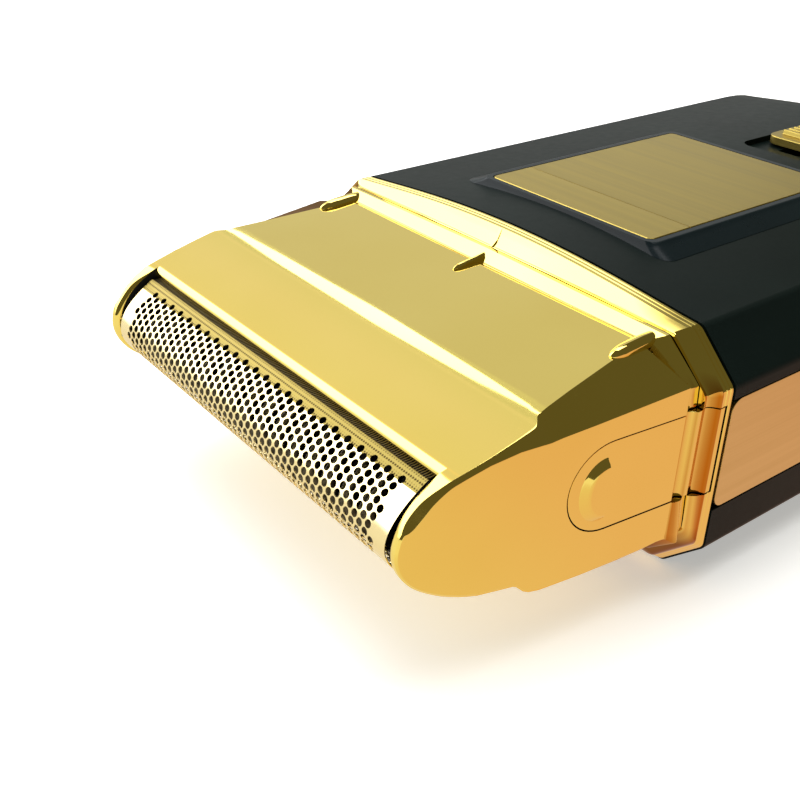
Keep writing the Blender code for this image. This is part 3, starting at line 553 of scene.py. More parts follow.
def head_profile():
    """The head's side outline (y, z), from the neck over the front face and nose to the neck."""
    front = [
        FACE_END, (20.0, mix(CREASE[1], FACE_END[1], 0.70)), (14.0, mix(CREASE[1], FACE_END[1], 0.30)),
    ]
    lip_slope = CREASE[1] / CREASE[0]
    crease = rounded([(14.0, 2.6, 0), (*CREASE, 20.0), (4.0, 4.0 * lip_slope, 0)], 12, closed=False)[1:-1]
    nose = smooth_curve(
        (
            (0.4, 0.10), (-1.2, -0.36), (-3.4, -1.55), (-5.1, -3.55), (-5.7, -5.6),
            (-5.25, -7.6), (-3.9, -9.5), (-1.6, -11.2), (0.8, -12.35), (2.6, -12.95),
        ),
        9,
    )
    back = [(4.6, -13.25), (6.4, -13.5), (6.8, -13.7), (7.6, -14.5), (8.2, -14.85), (9.4, -15.1)]
    rear = [(14.0, -15.3), (19.0, -15.45), (22.0, -15.6), (23.4, -16.3), (FACE_END[0], -17.3)]
    return [*front, *crease, (6.0, 6.0 * lip_slope), (3.0, 3.0 * lip_slope), (1.4, 1.4 * lip_slope),
            *nose, *back, *rear]


def along_list(places, y):
    """A value read off a smooth curve through (place, value) steps."""
    y = min(max(y, places[0][0]), places[-1][0])
    i = next(k for k, (end, _) in enumerate(places[1:]) if y <= end)
    (y0, v0), (y1, v1) = places[i], places[i + 1]
    before, after = places[max(i - 1, 0)], places[min(i + 2, len(places) - 1)]
    length = y1 - y0
    slope0 = (v1 - before[1]) / (y1 - before[0]) * length
    slope1 = (after[1] - v0) / (after[0] - y0) * length
    t = (y - y0) / length
    bend = (2 * t**3 - 3 * t**2 + 1) * v0 + (t**3 - 2 * t**2 + t) * slope0
    return bend + (3 * t**2 - 2 * t**3) * v1 + (t**3 - t**2) * slope1


# How far the front's flat part stops short of the side, and how deep the chamfer beside it drops.
FRONT_MARGIN = (
    (-5.1, 0.20), (-4.85, 0.34), (-4.4, 0.44), (-3.0, 0.42), (-2.0, 0.34), (-0.9, 0.26), (2.0, 0.26),
    (4.0, 0.34), (5.8, 0.52), (8.2, 0.92), (9.4, 2.1), (24.5, 6.4),
)
FRONT_DROP = (
    (-5.1, 0.14), (-4.95, 0.46), (-4.6, 0.74), (-3.6, 0.84), (-2.5, 0.66), (-1.0, 0.46), (1.4, 0.40),
    (3.7, 0.46), (5.4, 0.66), (7.0, 1.10), (9.4, 1.58), (24.5, 1.9),
)
# How round the chamfer's edges are.
FRONT_ROUND = (
    (-5.1, 0.08), (-3.0, 0.12), (-0.5, 0.16), (3.0, 0.26), (8.8, 0.28), (10.2, 0.10), (24.5, 0.10),
)
BACK_MARGIN = ((-5.0, 0.24), (22.0, 0.35), (24.5, 3.2))
BACK_DROP = ((-5.0, 0.16), (0.0, 0.3), (22.0, 0.45), (24.5, 2.2))
# How far the flat falls away inside the cheek's rim.
RIM_DEPTH = ((-5.7, 0.80), (-5.0, 0.60), (-3.0, 0.36), (-1.4, 0.16), (-0.5, 0.0), (24.5, 0.0))


def chamfer_at(y, z):
    """How wide the flat of a cross row is, how deep its chamfer drops, its edges and its rim."""
    front = z > -4.4 or y > 0 and z > MID_Z
    margin, drop = (FRONT_MARGIN, FRONT_DROP) if front else (BACK_MARGIN, BACK_DROP)
    rim = along_list(RIM_DEPTH, y) if y < -0.5 else 0.0
    if z < MID_Z:
        rim = max(rim, 0.60 if y < 1.0 else 0.0)
    tight = along_list(FRONT_ROUND, y) if front else 0.10
    return side_x(y) - along_list(margin, y), along_list(drop, y), tight, rim


def head_skin():
    """The closed outer skin: a belt of cross rows round the nose, two side faces, and the neck."""
    bm = bmesh.new()
    profile = head_profile()
    halves = []
    for i, (y, z) in enumerate(profile):
        before, after = Vector(profile[max(i - 1, 0)]), Vector(profile[min(i + 1, len(profile) - 1)])
        along = (after - before).normalized()
        inward = Vector((along.y, -along.x))
        if inward.dot(Vector((10, MID_Z)) - Vector((y, z))) < 0:
            inward = -inward
        straight = Vector((0, -1 if z > MID_Z else 1))
        inward = mix(inward, straight, min(1.0, max(0.0, (y + 1) / 4))).normalized()
        halves.append(row(y, z, inward, *chamfer_at(y, z)))
    rows = [[bm.verts.new(p) for p in full_row(half)] for half in halves]
    for first, second in zip(rows, rows[1:]):
        for a, b, c, d in zip(first, first[1:], second[1:], second):
            bm.faces.new((a, b, c, d))
    # The side faces, down to the neck.
    bm.faces.new([r[0] for r in rows])
    bm.faces.new([r[-1] for r in reversed(rows)])
    # The neck: the last outline of the head turns into the parting rim through a hollow.
    ring = [*rows[0], *reversed(rows[-1])]
    points = [v.co.copy() for v in ring]
    rim = rim_ring(RIB_Y, RIB)
    aligned = spread_like(points, rim)
    steps = 9
    previous = ring
    for k in range(1, steps + 1):
        t = k / steps
        lean = math.sin(math.pi * t)
        current = []
        for p, q in zip(points, aligned):
            x, z = mix(p.x, q[0], t), mix(p.z, q[1], t)
            inward = 0.55 * lean if z > -13 else -0.9 * lean * min(1, (-13 - z) / 2)
            length = math.hypot(x / 1.6, z - MID_Z)
            current.append(bm.verts.new((x - inward * (x / 1.6) / length, mix(FACE_END[0], 26.1, t),
                                         z - inward * (z - MID_Z) / length)))
        join_rings(bm, previous, current)
        previous = current
    lip = [bm.verts.new((q[0], RIB_Y, q[1])) for q in aligned]
    join_rings(bm, previous, lip)
    bm.faces.new(lip)
    return raw_object("head_frame_plate", bm, (FINISHES["polished_gold"], FINISHES["dark_plastic"]))


def join_rings(bm, first, second):
    count = len(first)
    for i in range(count):
        j = (i + 1) % count
        bm.faces.new((first[i], first[j], second[j], second[i]))


def spread_like(points, outline):
    """Points along a closed outline that face the given points, angle for angle."""
    made = []
    count = len(outline)
    for p in points:
        ray = Vector((p.x, (p.z - OUTLINE_MID) * 1.25))
        best = None
        for i in range(count):
            a = Vector((outline[i][0], (outline[i][1] - OUTLINE_MID) * 1.25))
            b = Vector((outline[(i + 1) % count][0], (outline[(i + 1) % count][1] - OUTLINE_MID) * 1.25))
            edge = b - a
            cross = ray.x * edge.y - ray.y * edge.x
            if abs(cross) < 1e-9:
                continue
            far = (a.x * edge.y - a.y * edge.x) / cross
            share = (a.x * ray.y - a.y * ray.x) / cross
            if far > 0 and -1e-6 <= share <= 1 + 1e-6 and (best is None or far > best):
                best = far
        hit = ray * best
        made.append((hit.x, hit.y / 1.25 + OUTLINE_MID))
    return made


OUTLINE_MID = -8.0
# Outlines of the neck and body: front middle, front corner, corner start, side, shoulder, back, crown power
RIB = {"top": 4.6, "corner": 4.25, "kink": 24.9, "half": 29.46, "shoulder": -0.1, "back": -19.2}
EDGE = {"top": 6.45, "corner": 4.75, "kink": 25.7, "half": 30.3, "shoulder": 0.3, "back": -21.0}


def rim_ring(y, shape, inset=0.0, steps=5):
    """A neck or body outline (x, z): crowned front, chamfered corners, flat sides and back."""
    kink, half = shape["kink"] - inset * 0.4, shape["half"] - inset
    corner, shoulder = shape["corner"] - inset, shape["shoulder"] - inset * 0.4
    back, soft = shape["back"] + inset, max(0.15, 1.1 - inset * 0.5)
    low_shoulder = back + 4.4 + inset * 0.2
    corners = [
        (kink, corner, soft), (-kink, corner, soft), (-half, shoulder, soft), (-half, low_shoulder, soft),
        (-kink, back, soft), (kink, back, soft), (half, low_shoulder, soft), (half, shoulder, soft),
    ]
    outline = rounded(corners, steps)
    crown = shape["top"] - shape["corner"]
    crowned = []
    for i, (x, z) in enumerate(outline):
        crowned.append((x, z + crown * rise(x, kink) if z > MID_Z else z))
        if i == steps:
            for k in range(1, 24):
                x = kink * (1 - 2 * k / 24)
                if abs(x) < kink - soft:
                    crowned.append((x, corner + crown * rise(x, kink)))
    return crowned


def rise(x, kink):
    return max(0.0, 1 - (x / kink) ** 2) ** 1.25


def mouth_outline():
    """What opens the head in front: a rounded lip at the front and at the back."""
    slope = math.atan2(CREASE[1], CREASE[0])
    radius, edge_y, wall = 0.75, -0.45, 0.6
    centre_y = edge_y + radius
    centre_z = centre_y * math.tan(slope) - radius / math.cos(slope)
    arc = [
        (centre_y + radius * math.cos(a), centre_z + radius * math.sin(a))
        for a in (math.pi / 2 + slope + (math.pi / 2 - slope) * k / 8 for k in range(9))
    ]
    behind = [(edge_y + 0.05, -wall - 0.35), (1.0, -wall - 0.2), (10.0, 1.0)]
    return mirrored_outline([(-9.0, 4.0), (arc[0][0], 4.0), *arc, *behind])


def mirrored_outline(top):
    return [*top, *[(y, 2 * MID_Z - z) for y, z in reversed(top)]]


def shade_painted_rooms():
    """The mouth, the throat behind its ledge and the chamber: painted dark inside as painted shade, but for the
    plated lips.
    """
    shapes = (
        (mouth_outline(), CHEEK_INNER),
        (mirrored_outline([(9.0, 0.4), (12.6, 0.4)]), 20.7),
        (mirrored_outline([(11.6, 1.2), (24.5, 1.6), (30.0, 1.6)]), CHEEK_INNER - 1.6),
    )
    for outline, half in shapes:
        tool = raw_object("room", prism(outline, "X", -half, half),
                          (FINISHES["polished_gold"], FINISHES["dark_plastic"]))
        # Inner faces take the dark moulding finish as painted shade inside the plated head. Only the lips keep
        # the gold.
        for face in tool.data.polygons:
            y, z = face.center.y, face.center.z
            on_lip = abs(face.normal.x) < 0.5 and (y < -0.40 or min(-z, z - 2 * MID_Z) < 0.5) and y < 2
            face.material_index = 0 if on_lip else 1
        yield tool


def pill(margin, end):
    """The release button's outline (y, z)."""
    half = PILL_HALF + margin
    centre = PILL_START + PILL_HALF
    arc = [(centre + half * math.cos(a), PILL_Z + half * math.sin(a))
           for a in (math.pi / 2 + math.pi * k / 24 for k in range(25))]
    return [(end, PILL_Z + half), *arc, (end, PILL_Z - half)]


def fins():
    """Raised marks on the front of the neck: one thin one in the middle and two broad ones."""
    for x, half, tip, high in ((0.0, 0.34, 21.6, 0.50), (-23.1, 0.78, 20.5, 0.70), (23.1, 0.78, 20.5, 0.70)):
        bm = bmesh.new()
        rings = []
        nose = 2.2 if half > 0.5 else 1.6
        for k in range(9):
            a = math.pi / 2 * k / 8
            grown = max(0.12, math.sin(a)) ** 0.8
            rings.append(fin_ring(x, tip + nose * (1 - math.cos(a)), half * grown, high * grown))
        level = 0.72 if half > 0.5 else 0.80  # the parting rim, above the front face
        rings.append(fin_ring(x, 24.6, half, mix(high, level, 0.25)))
        rings.append(fin_ring(x, 25.6, half, mix(high, level, 0.85)))
        rings.append(fin_ring(x, RIB_Y, half, level))
        skin(bm, rings)
        yield raw_object("fin", bm, (FINISHES["polished_gold"], FINISHES["dark_plastic"]))


def fin_ring(x, y, half, high):
    base = front_at(min(y, FACE_END[0])) - 0.5
    arch = [(x + half * math.cos(a), y, base + 0.5 + high * math.sin(a))
            for a in (math.pi * k / 12 for k in range(13))]
    return [*arch, (x - half, y, base - 0.6), (x + half, y, base - 0.6)]


def soften(made, offset, chosen, segments=4):
    """Rounds the edges that a rule picks."""
    bm = bmesh.new()
    bm.from_mesh(made.data)
    bmesh.ops.remove_doubles(bm, verts=bm.verts, dist=0.0005)
    bm.normal_update()
    edges = [e for e in bm.edges if len(e.link_faces) == 2 and chosen(e)]
    bmesh.ops.bevel(bm, geom=edges, offset=offset, segments=segments, affect="EDGES", profile=0.5,
                    clamp_overlap=True)
    bm.to_mesh(made.data)
    bm.free()


def make_head():
    head = head_skin()
    carve(head, *fins(), operation="UNION")
    carve(head, *shade_painted_rooms())
    for side in (-1, 1):
        carve(head, prism(pill(0.16, 30.0), "X", *both_ways(side, 24.0, 33.0)))
    finish_piece(head, "head", (), ("head_frame",), keep=28)


def front_at(y):
    """The height of the front face at any place along the head."""
    if y < CREASE[0]:
        return CREASE[1] / CREASE[0] * y
    return CREASE[1] + (y - CREASE[0]) * (FACE_END[1] - CREASE[1]) / (FACE_END[0] - CREASE[0])


# The neck ring and the release buttons


def flange_rings(start, inset=0.0):
    """Rings from the parting to the ring's back, through the second hollow and over its edge."""
    rings = []
    low, high = rim_ring(0, RIB, inset), rim_ring(0, EDGE, inset)
    steps = 10
    for k in range(steps + 1):
        t = k / steps
        ring = []
        for (x0, z0), (x1, z1) in zip(low, high):
            x, z = mix(x0, x1, t), mix(z0, z1, t)
            depth = (0.5 if z > -14 else -0.45) * math.sin(math.pi * t)
            length = math.hypot(x / 1.6, z - MID_Z)
            x = max(-EDGE["half"], min(EDGE["half"], x - depth * (x / 1.6) / length))
            ring.append((x, mix(start, EDGE_Y - 0.05, t), z - depth * (z - MID_Z) / length))
        rings.append(ring)
    groove = 0.12
    for y, drawn in ((EDGE_Y + 0.08, 0.0), (28.52, 0.0), (28.60, groove), (28.68, 0.0), (29.07, 0.0),
                     (29.15, groove), (29.23, 0.0), (FLANGE_END - 0.1, 0.0), (FLANGE_END, 0.1)):
        back = mix(EDGE["back"], BACK_Z + 0.3, (y - EDGE_Y) / (FLANGE_END - EDGE_Y))
        rings.append([(x, y, z) for x, z in rim_ring(0, {**EDGE, "back": back}, inset + drawn)])
    return rings


def make_flange():
    bm = bmesh.new()
    skin(bm, flange_rings(26.65))
    ring = raw_object("neck_ring", bm)
    web = [(26.65, 4.0), (26.65, 4.64), (27.4, 5.25), (EDGE_Y - 0.1, 6.40), (EDGE_Y + 0.2, 6.0)]
    carve(ring, prism(web, "X", -0.2, 0.2), operation="UNION")
    for drawn, start, end in ((3.1, 25.0, 28.5), (2.5, 28.3, 31.0)):
        carve(ring, prism(rim_ring(0, EDGE, drawn), "Y", start, end))
    for side in (-1, 1):
        for outer, end in ((32.0, 29.1), (28.9, 31.0)):
            x0, x1 = both_ways(side, 25.0, outer)
            half = PILL_HALF + 0.16
            carve(ring, cube((x0, 25.0, PILL_Z - half), (x1, end, PILL_Z + half)))
    finish_piece(ring, "body", (FINISHES["polished_gold"],), ("neck_flange",), keep=28)


def make_buttons():
    """Sprung tongues whose outer faces carry on the head's side, the hollows and the neck ring."""
    for name, side in (("left", -1), ("right", 1)):
        profile = [(x_of_neck(y), y) for y in tongue_steps()]
        plan = [(26.2, PILL_START - 1.0), *profile, (26.2, profile[-1][1])]
        bm = prism([(side * x, y) for x, y in plan], "Z", PILL_Z - 6, PILL_Z + 6)
        button = raw_object(f"release_button_{name}_cap", bm)
        outline = prism(pill(0.04, 28.8), "X", *both_ways(side, 26.0, 31.0))
        carve(button, outline, operation="INTERSECT")
        soften(button, 0.10, button_rim, 2)
        carve(button, thumb_grip(side), operation="UNION")
        # A fine line behind the grip's straight side.
        inner, outer = both_ways(side, side_x(GRIP_Y) - 0.3, 31)
        carve(button, cube((inner, GRIP_Y, GRIP_Z - 3.3), (outer, GRIP_Y + 0.12, GRIP_Z + 3.3)))
        root = rounded_box((26.9, PILL_Z - 4.2), (34.5, PILL_Z + 4.2), 0.5)
        carve(button, prism(root, "X", *both_ways(side, 24.8, 27.6)), operation="UNION")
        finish_piece(button, f"button_{name}", (FINISHES["gold_button"],),
                     (f"release_button_{name}",), keep=28)


def tongue_steps():
    hollow_1 = [mix(FACE_END[0], 26.1, k / 8) for k in range(9)]
    hollow_2 = [mix(26.65, EDGE_Y - 0.05, k / 8) for k in range(9)]
    return [PILL_START - 1.0, 16.0, 20.0, *hollow_1, 26.5, *hollow_2, EDGE_Y + 0.1, 28.8]


def x_of_neck(y):
    """The half width of the side's middle at any place along the neck."""
    if y <= FACE_END[0]:
        return side_x(y)
    if y <= 26.1:
        t = (y - FACE_END[0]) / (26.1 - FACE_END[0])
        return mix(side_x(FACE_END[0]), RIB["half"], t) - 0.55 * math.sin(math.pi * t)
    if y <= 26.65:
        return RIB["half"]
    if y <= EDGE_Y - 0.05:
        t = (y - 26.65) / (EDGE_Y - 0.05 - 26.65)
        return mix(RIB["half"], EDGE["half"], t) - 0.5 * math.sin(math.pi * t)
    return EDGE["half"]


def button_rim(edge):
    a, b = (v.co for v in edge.verts)
    outer = all(abs(p.x) > x_of_neck(p.y) - 0.02 for p in (a, b))
    return outer and edge.calc_face_angle(0) > 1.0


def thumb_grip(side):
    """The raised half-moon grip: a straight drop towards the neck, a rounded slope towards the foil."""
    long, wide = 2.75, 3.35
    bm = bmesh.new()
    rings = []
    for height, reach in ((-0.5, 1.0), (0.0, 1.0), (0.10, 0.96), (0.40, 0.80), (0.50, 0.70), (0.51, 0.64)):
        arc = [(GRIP_Y - long * reach * math.cos(a), GRIP_Z + wide * mix(1, reach, 0.8) * math.sin(a))
               for a in (-math.pi / 2 + math.pi * k / 24 for k in range(25))]
        rings.append([(side * (side_x(y) + height), y, z) for y, z in arc])
    skin(bm, rings)
    return bm


# The casing


def body_ring(y, drawn):
    return [(x, y, z) for x, z in rim_ring(0, {**EDGE, "back": BACK_Z}, drawn)]


def body_skin(inset=0.0):
    """The body's outer skin, rounded at the base, or the room inside it."""
    bm = bmesh.new()
    rings = [body_ring(29.9 - 3 * bool(inset), inset)]
    rings += [body_ring(y, inset) for y in (34, 40, 48, 56, 64, 72, 80, 88, 94)]
    start, reach, pull = 98.0, BODY_END - 98.0, 4.0
    for k in range(1, 15):
        a = math.pi / 2 * k / 14
        drawn = inset + pull * (1 - math.cos(a)) ** 1.3
        rings.append(body_ring(start + (reach - inset) * math.sin(a) ** 0.9, drawn))
    skin(bm, rings)
    return bm


def make_casing():
    for name, low, high in (("front_shell", PARTING_Z + 0.1, 20.0), ("back_shell", -40.0, PARTING_Z - 0.1)):
        shell = raw_object(f"{name}_cover", body_skin())
        carve(shell, body_skin(1.8))
        carve(shell, cube((-40, 20, low), (40, 120, high)), operation="INTERSECT")
        for side in (-1, 1):
            low_end, high_end = (25.0, INLAY["low"] - 0.15), (INLAY["end"] + 0.15, INLAY["high"] + 0.15)
            strip = rounded_box(low_end, high_end, 1.45)
            carve(shell, prism(strip, "X", *both_ways(side, 29.0, 40.0)))
        port = rounded_box((-SOCKET["half"] - 0.2, SOCKET["z"] - SOCKET["tall"] - 0.2),
                           (SOCKET["half"] + 0.2, SOCKET["z"] + SOCKET["tall"] + 0.2), 2.0)
        carve(shell, prism(port, "Y", 100.0, 112.0))
        if name == "front_shell":
            open_front(shell)
        else:
            for x, y in screw_places():
                carve(shell, prism(circle(x, y, 2.6), "Z", BACK_Z - 1, BACK_Z + 3.0))
        finish_piece(shell, "body", (FINISHES["black_shell"],), (name,),
                     bevel=0.18, segments=3, angle=40)


def screw_places():
    places = []
    for name in ("front_left", "front_right", "rear_left", "rear_right"):
        low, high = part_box(f"case_screw_{name}")
        middle = ((low + high) / 2 - LIP) / MM
        places.append((middle.x, middle.y))
    return places


def open_front(shell):
    mid = (KNOB["start"] + KNOB["end"] - 4.0) / 2
    half = (KNOB["end"] - KNOB["start"] + 4.0) / 2
    carve(
        shell,
        prism(rounded_box((-5.3, mid - half - 0.8), (5.3, mid + half + 0.8), 2.0), "Z", 5.6, 10),
        cube((-1.6, mid - 4, 0), (1.6, mid + 4, 10)),
        prism(circle(0, LAMP_Y, 1.8), "Z", 0, 10),
        prism(plate_outline(0.2), "Z", 5.6, 10),
    )


def plate_outline(margin=0.0):
    return rounded_box((-PLATE["half"] - margin, PLATE["start"] - margin),
                       (PLATE["half"] + margin, PLATE["end"] + margin), 0.7 + margin)


def make_bezel():
    """The raised surround: sloping sides that sink into the casing."""
    rings = []
    top = PLATE["top"]
    steps = ((4.6, 0.0), (5.3, 0.0), (5.75, 0.35), (top - 0.45, 2.2), (top - 0.12, 2.75), (top - 0.02, 3.0))
    for z, drawn in steps:
        share = drawn / 3.0
        half = mix(16.0, 13.0, share)
        low, high = (-half, mix(36.1, 36.95, share)), (half, mix(71.7, 70.8, share))
        rings.append([(x, y, z) for x, y in rounded_box(low, high, mix(1.8, 1.1, share), 8)])
    bm = bmesh.new()
    skin(bm, rings)
    bezel = raw_object("plate_surround", bm)
    carve(bezel, prism(plate_outline(0.12), "Z", 0, 12))
    carve(bezel, body_skin(-0.02))
    finish_piece(bezel, "body", (FINISHES["bezel"],), ("plate_bezel",), bevel=0.06, segments=2)


def make_plate():
    """The blank plate, with one fine engraved line across it and a bright bevelled edge."""
    plate = raw_object("blank_plate", prism(plate_outline(), "Z", PLATE["floor"], PLATE["top"]))
    soften(plate, 0.14, plate_rim, 3)
    carve(plate, cube((-14, 43.90, PLATE["top"] - 0.05), (14, 43.99, PLATE["top"] + 1)))
    finish_piece(plate, "body", (FINISHES["brushed_plate"],), ("name_plate",))


def plate_rim(edge):
    on_top = all(v.co.z > PLATE["top"] - 0.01 for v in edge.verts)
    return edge.calc_face_angle(0) > 1.0 and on_top


def make_inlays():
    for name, side in (("left", -1), ("right", 1)):
        strip = rounded_box((INLAY["start"], INLAY["low"]), (INLAY["end"], INLAY["high"]), 1.3, 8)
        inlay = raw_object(f"side_strip_{name}", prism(strip, "X", *both_ways(side, 29.3, 30.3)))
        finish_piece(inlay, "body", (FINISHES["brushed_side"],), (f"side_inlay_{name}",),
                     bevel=0.10, segments=2)


def make_knob():
    """The switch's knob, with rounded grip ribs across it."""
    base = rounded_box((-KNOB["half"], KNOB["start"]), (KNOB["half"], KNOB["end"]), 1.6, 8)
    knob = raw_object("switch_knob", prism(base, "Z", 5.9, 7.0))
    low, high = 6.6, 7.6
    for k in range(6):
        y = KNOB["start"] + 2.2 + 1.12 * k
        rib = rounded(((y - 0.42, low, 0), (y + 0.42, low, 0), (y + 0.2, high, 0.16), (y - 0.2, high, 0.16)), 4)
        carve(knob, prism(rib, "X", -3.3, 3.3), operation="UNION")
    mid = (KNOB["start"] + KNOB["end"]) / 2
    carve(knob, cube((-1.2, mid - 1.5, 2.2), (1.2, mid + 1.5, 6.2)), operation="UNION")
    finish_piece(knob, "knob", (FINISHES["brushed_plate"],), ("power_knob",),
                 bevel=0.12, segments=3, angle=50)


def make_lens():
    """The lamp's clear window, domed on top."""
    bm = bmesh.new()
    dome = 6.25
    levels = [(1.6, LAMP_RADIUS), (dome, LAMP_RADIUS)]
    for k in range(1, 6):
        a = math.pi / 2 * k / 6
        levels.append((dome + 0.35 * math.sin(a), LAMP_RADIUS * math.cos(a)))
    skin(bm, [[(x, y, z) for x, y in circle(0, LAMP_Y, radius)] for z, radius in levels])
    lens = raw_object("lamp_window", bm)
    finish_piece(lens, "body", (FINISHES["clear_lens"],), ("lamp_lens",))


def slot_outline(cz, half_length, radius):
    """A slot across the middle, its ends all but full half circles."""
    return rounded_box((-half_length, cz - radius), (half_length, cz + radius), radius * 0.999, 10)


def make_socket():
    """The charging inlet: a cup with a waisted mouth, and its two pins."""
    z = SOCKET["z"]
    outline = rounded_box((-SOCKET["half"], z - SOCKET["tall"]), (SOCKET["half"], z + SOCKET["tall"]), 2.0, 8)
    socket = raw_object("charging_inlet_cup", prism(outline, "Y", 96.5, BODY_END - 0.3))
    carve(socket, prism(slot_outline(z, 7.6, 4.3), "Y", 98.5, 112.0))
    for side in (-1, 1):
        carve(socket, prism(circle(side * PIN_X, z, 1.0), "Y", 94.0, 99.0))
    finish_piece(socket, "body", (FINISHES["dark_plastic"],), ("charge_socket",),
                 bevel=0.25, segments=3, angle=50)
    for name, side in (("left", -1), ("right", 1)):
        bm = bmesh.new()
        tip = 105.0
        levels = [(95.5, PIN_RADIUS), (tip, PIN_RADIUS)]
        for k in range(1, 5):
            a = math.pi / 2 * k / 5
            levels.append((tip + 0.5 * math.sin(a), PIN_RADIUS * math.cos(a)))
        skin(bm, [[(x, y, zz) for x, zz in circle(side * PIN_X, z, radius)] for y, radius in levels])
        finish_piece(raw_object(f"charging_pin_{name}", bm), "body", (FINISHES["nickel"],),
                     (f"charge_pin_{name}",))


def make_screws():
    """The case screws: domed heads with a cross recess."""
    for name in ("front_left", "front_right", "rear_left", "rear_right"):
        low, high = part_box(f"case_screw_{name}")
        centre = ((low + high) / 2 - LIP) / MM
        x, y = centre.x, centre.y
        bm = bmesh.new()
        # From the dome's crown over its rim, then along the stem to its tip.
        levels = [(-21.05 - 0.3 * math.cos(t), 0.25 + 2.05 * math.sin(t))
                  for t in (math.pi / 2 * k / 6 for k in range(7))]
        levels += [(-19.8, SCREW_HEAD), (-19.8, SCREW_STEM), (-1.4, SCREW_STEM), (-1.0, 0.7)]
        skin(bm, [[(a, b, z) for a, b in circle(x, y, radius)] for z, radius in levels])
        screw = raw_object(f"case_screw_{name}_head", bm)
        long, short = 1.3, 0.25
        carve(screw, cube((x - long, y - short, -22), (x + long, y + short, -20.8)),
              cube((x - short, y - long, -22), (x + short, y + long, -20.8)))
        finish_piece(screw, "body", (FINISHES["steel"],), (f"case_screw_{name}",),
                     bevel=0.04, segments=2)


# What repeats: node trees


def node_tree(name, inputs):
    """An empty geometry tree with named inputs: (name, socket kind, default)."""
    tree = bpy.data.node_groups.new(name, "GeometryNodeTree")
    tree.interface.new_socket("Geometry", in_out="INPUT", socket_type="NodeSocketGeometry")
    tree.interface.new_socket("Geometry", in_out="OUTPUT", socket_type="NodeSocketGeometry")
    for label, kind, value in inputs:
        socket = tree.interface.new_socket(label, in_out="INPUT", socket_type=f"NodeSocket{kind}")
        socket.default_value = value
    return tree, tree.nodes.new("NodeGroupInput"), tree.nodes.new("NodeGroupOutput")


def calculator(tree):
    """Short names for one tree's sums."""
    def sum_of(operation):
        return lambda a, b: math_node(tree, operation, a, b)
    return sum_of("ADD"), sum_of("SUBTRACT"), sum_of("MULTIPLY")


def combine(tree, x=0.0, y=0.0, z=0.0):
    node = tree.nodes.new("ShaderNodeCombineXYZ")
    for socket, value in zip(node.inputs, (x, y, z)):
        if isinstance(value, (int, float)):
            socket.default_value = value
        else:
            tree.links.new(value, socket)
    return node.outputs["Vector"]


def close_tree(tree, out, geometry, finish):
    """Every tree ends by making its instances real and giving them their finish."""
    real = tree.nodes.new("GeometryNodeRealizeInstances")
    paint = tree.nodes.new("GeometryNodeSetMaterial")
    paint.inputs["Material"].default_value = finish
    tree.links.new(geometry, real.inputs["Geometry"])
    tree.links.new(real.outputs["Geometry"], paint.inputs["Geometry"])
    tree.links.new(paint.outputs["Geometry"], out.inputs["Geometry"])


def grow(name, tree, values):
    """Runs a node tree on an empty mesh, in datum millimetres, and keeps what it makes."""
    made = bpy.data.objects.new(name, bpy.data.meshes.new(name))
    step = made.modifiers.new("grow", "NODES")
    step.node_group = tree
    sockets = {s.name: s.identifier for s in tree.interface.items_tree if s.in_out == "INPUT"}
    for label, value in values.items():
        step[sockets[label]] = value
    bpy.context.scene.collection.objects.link(made)
    return settle(made)


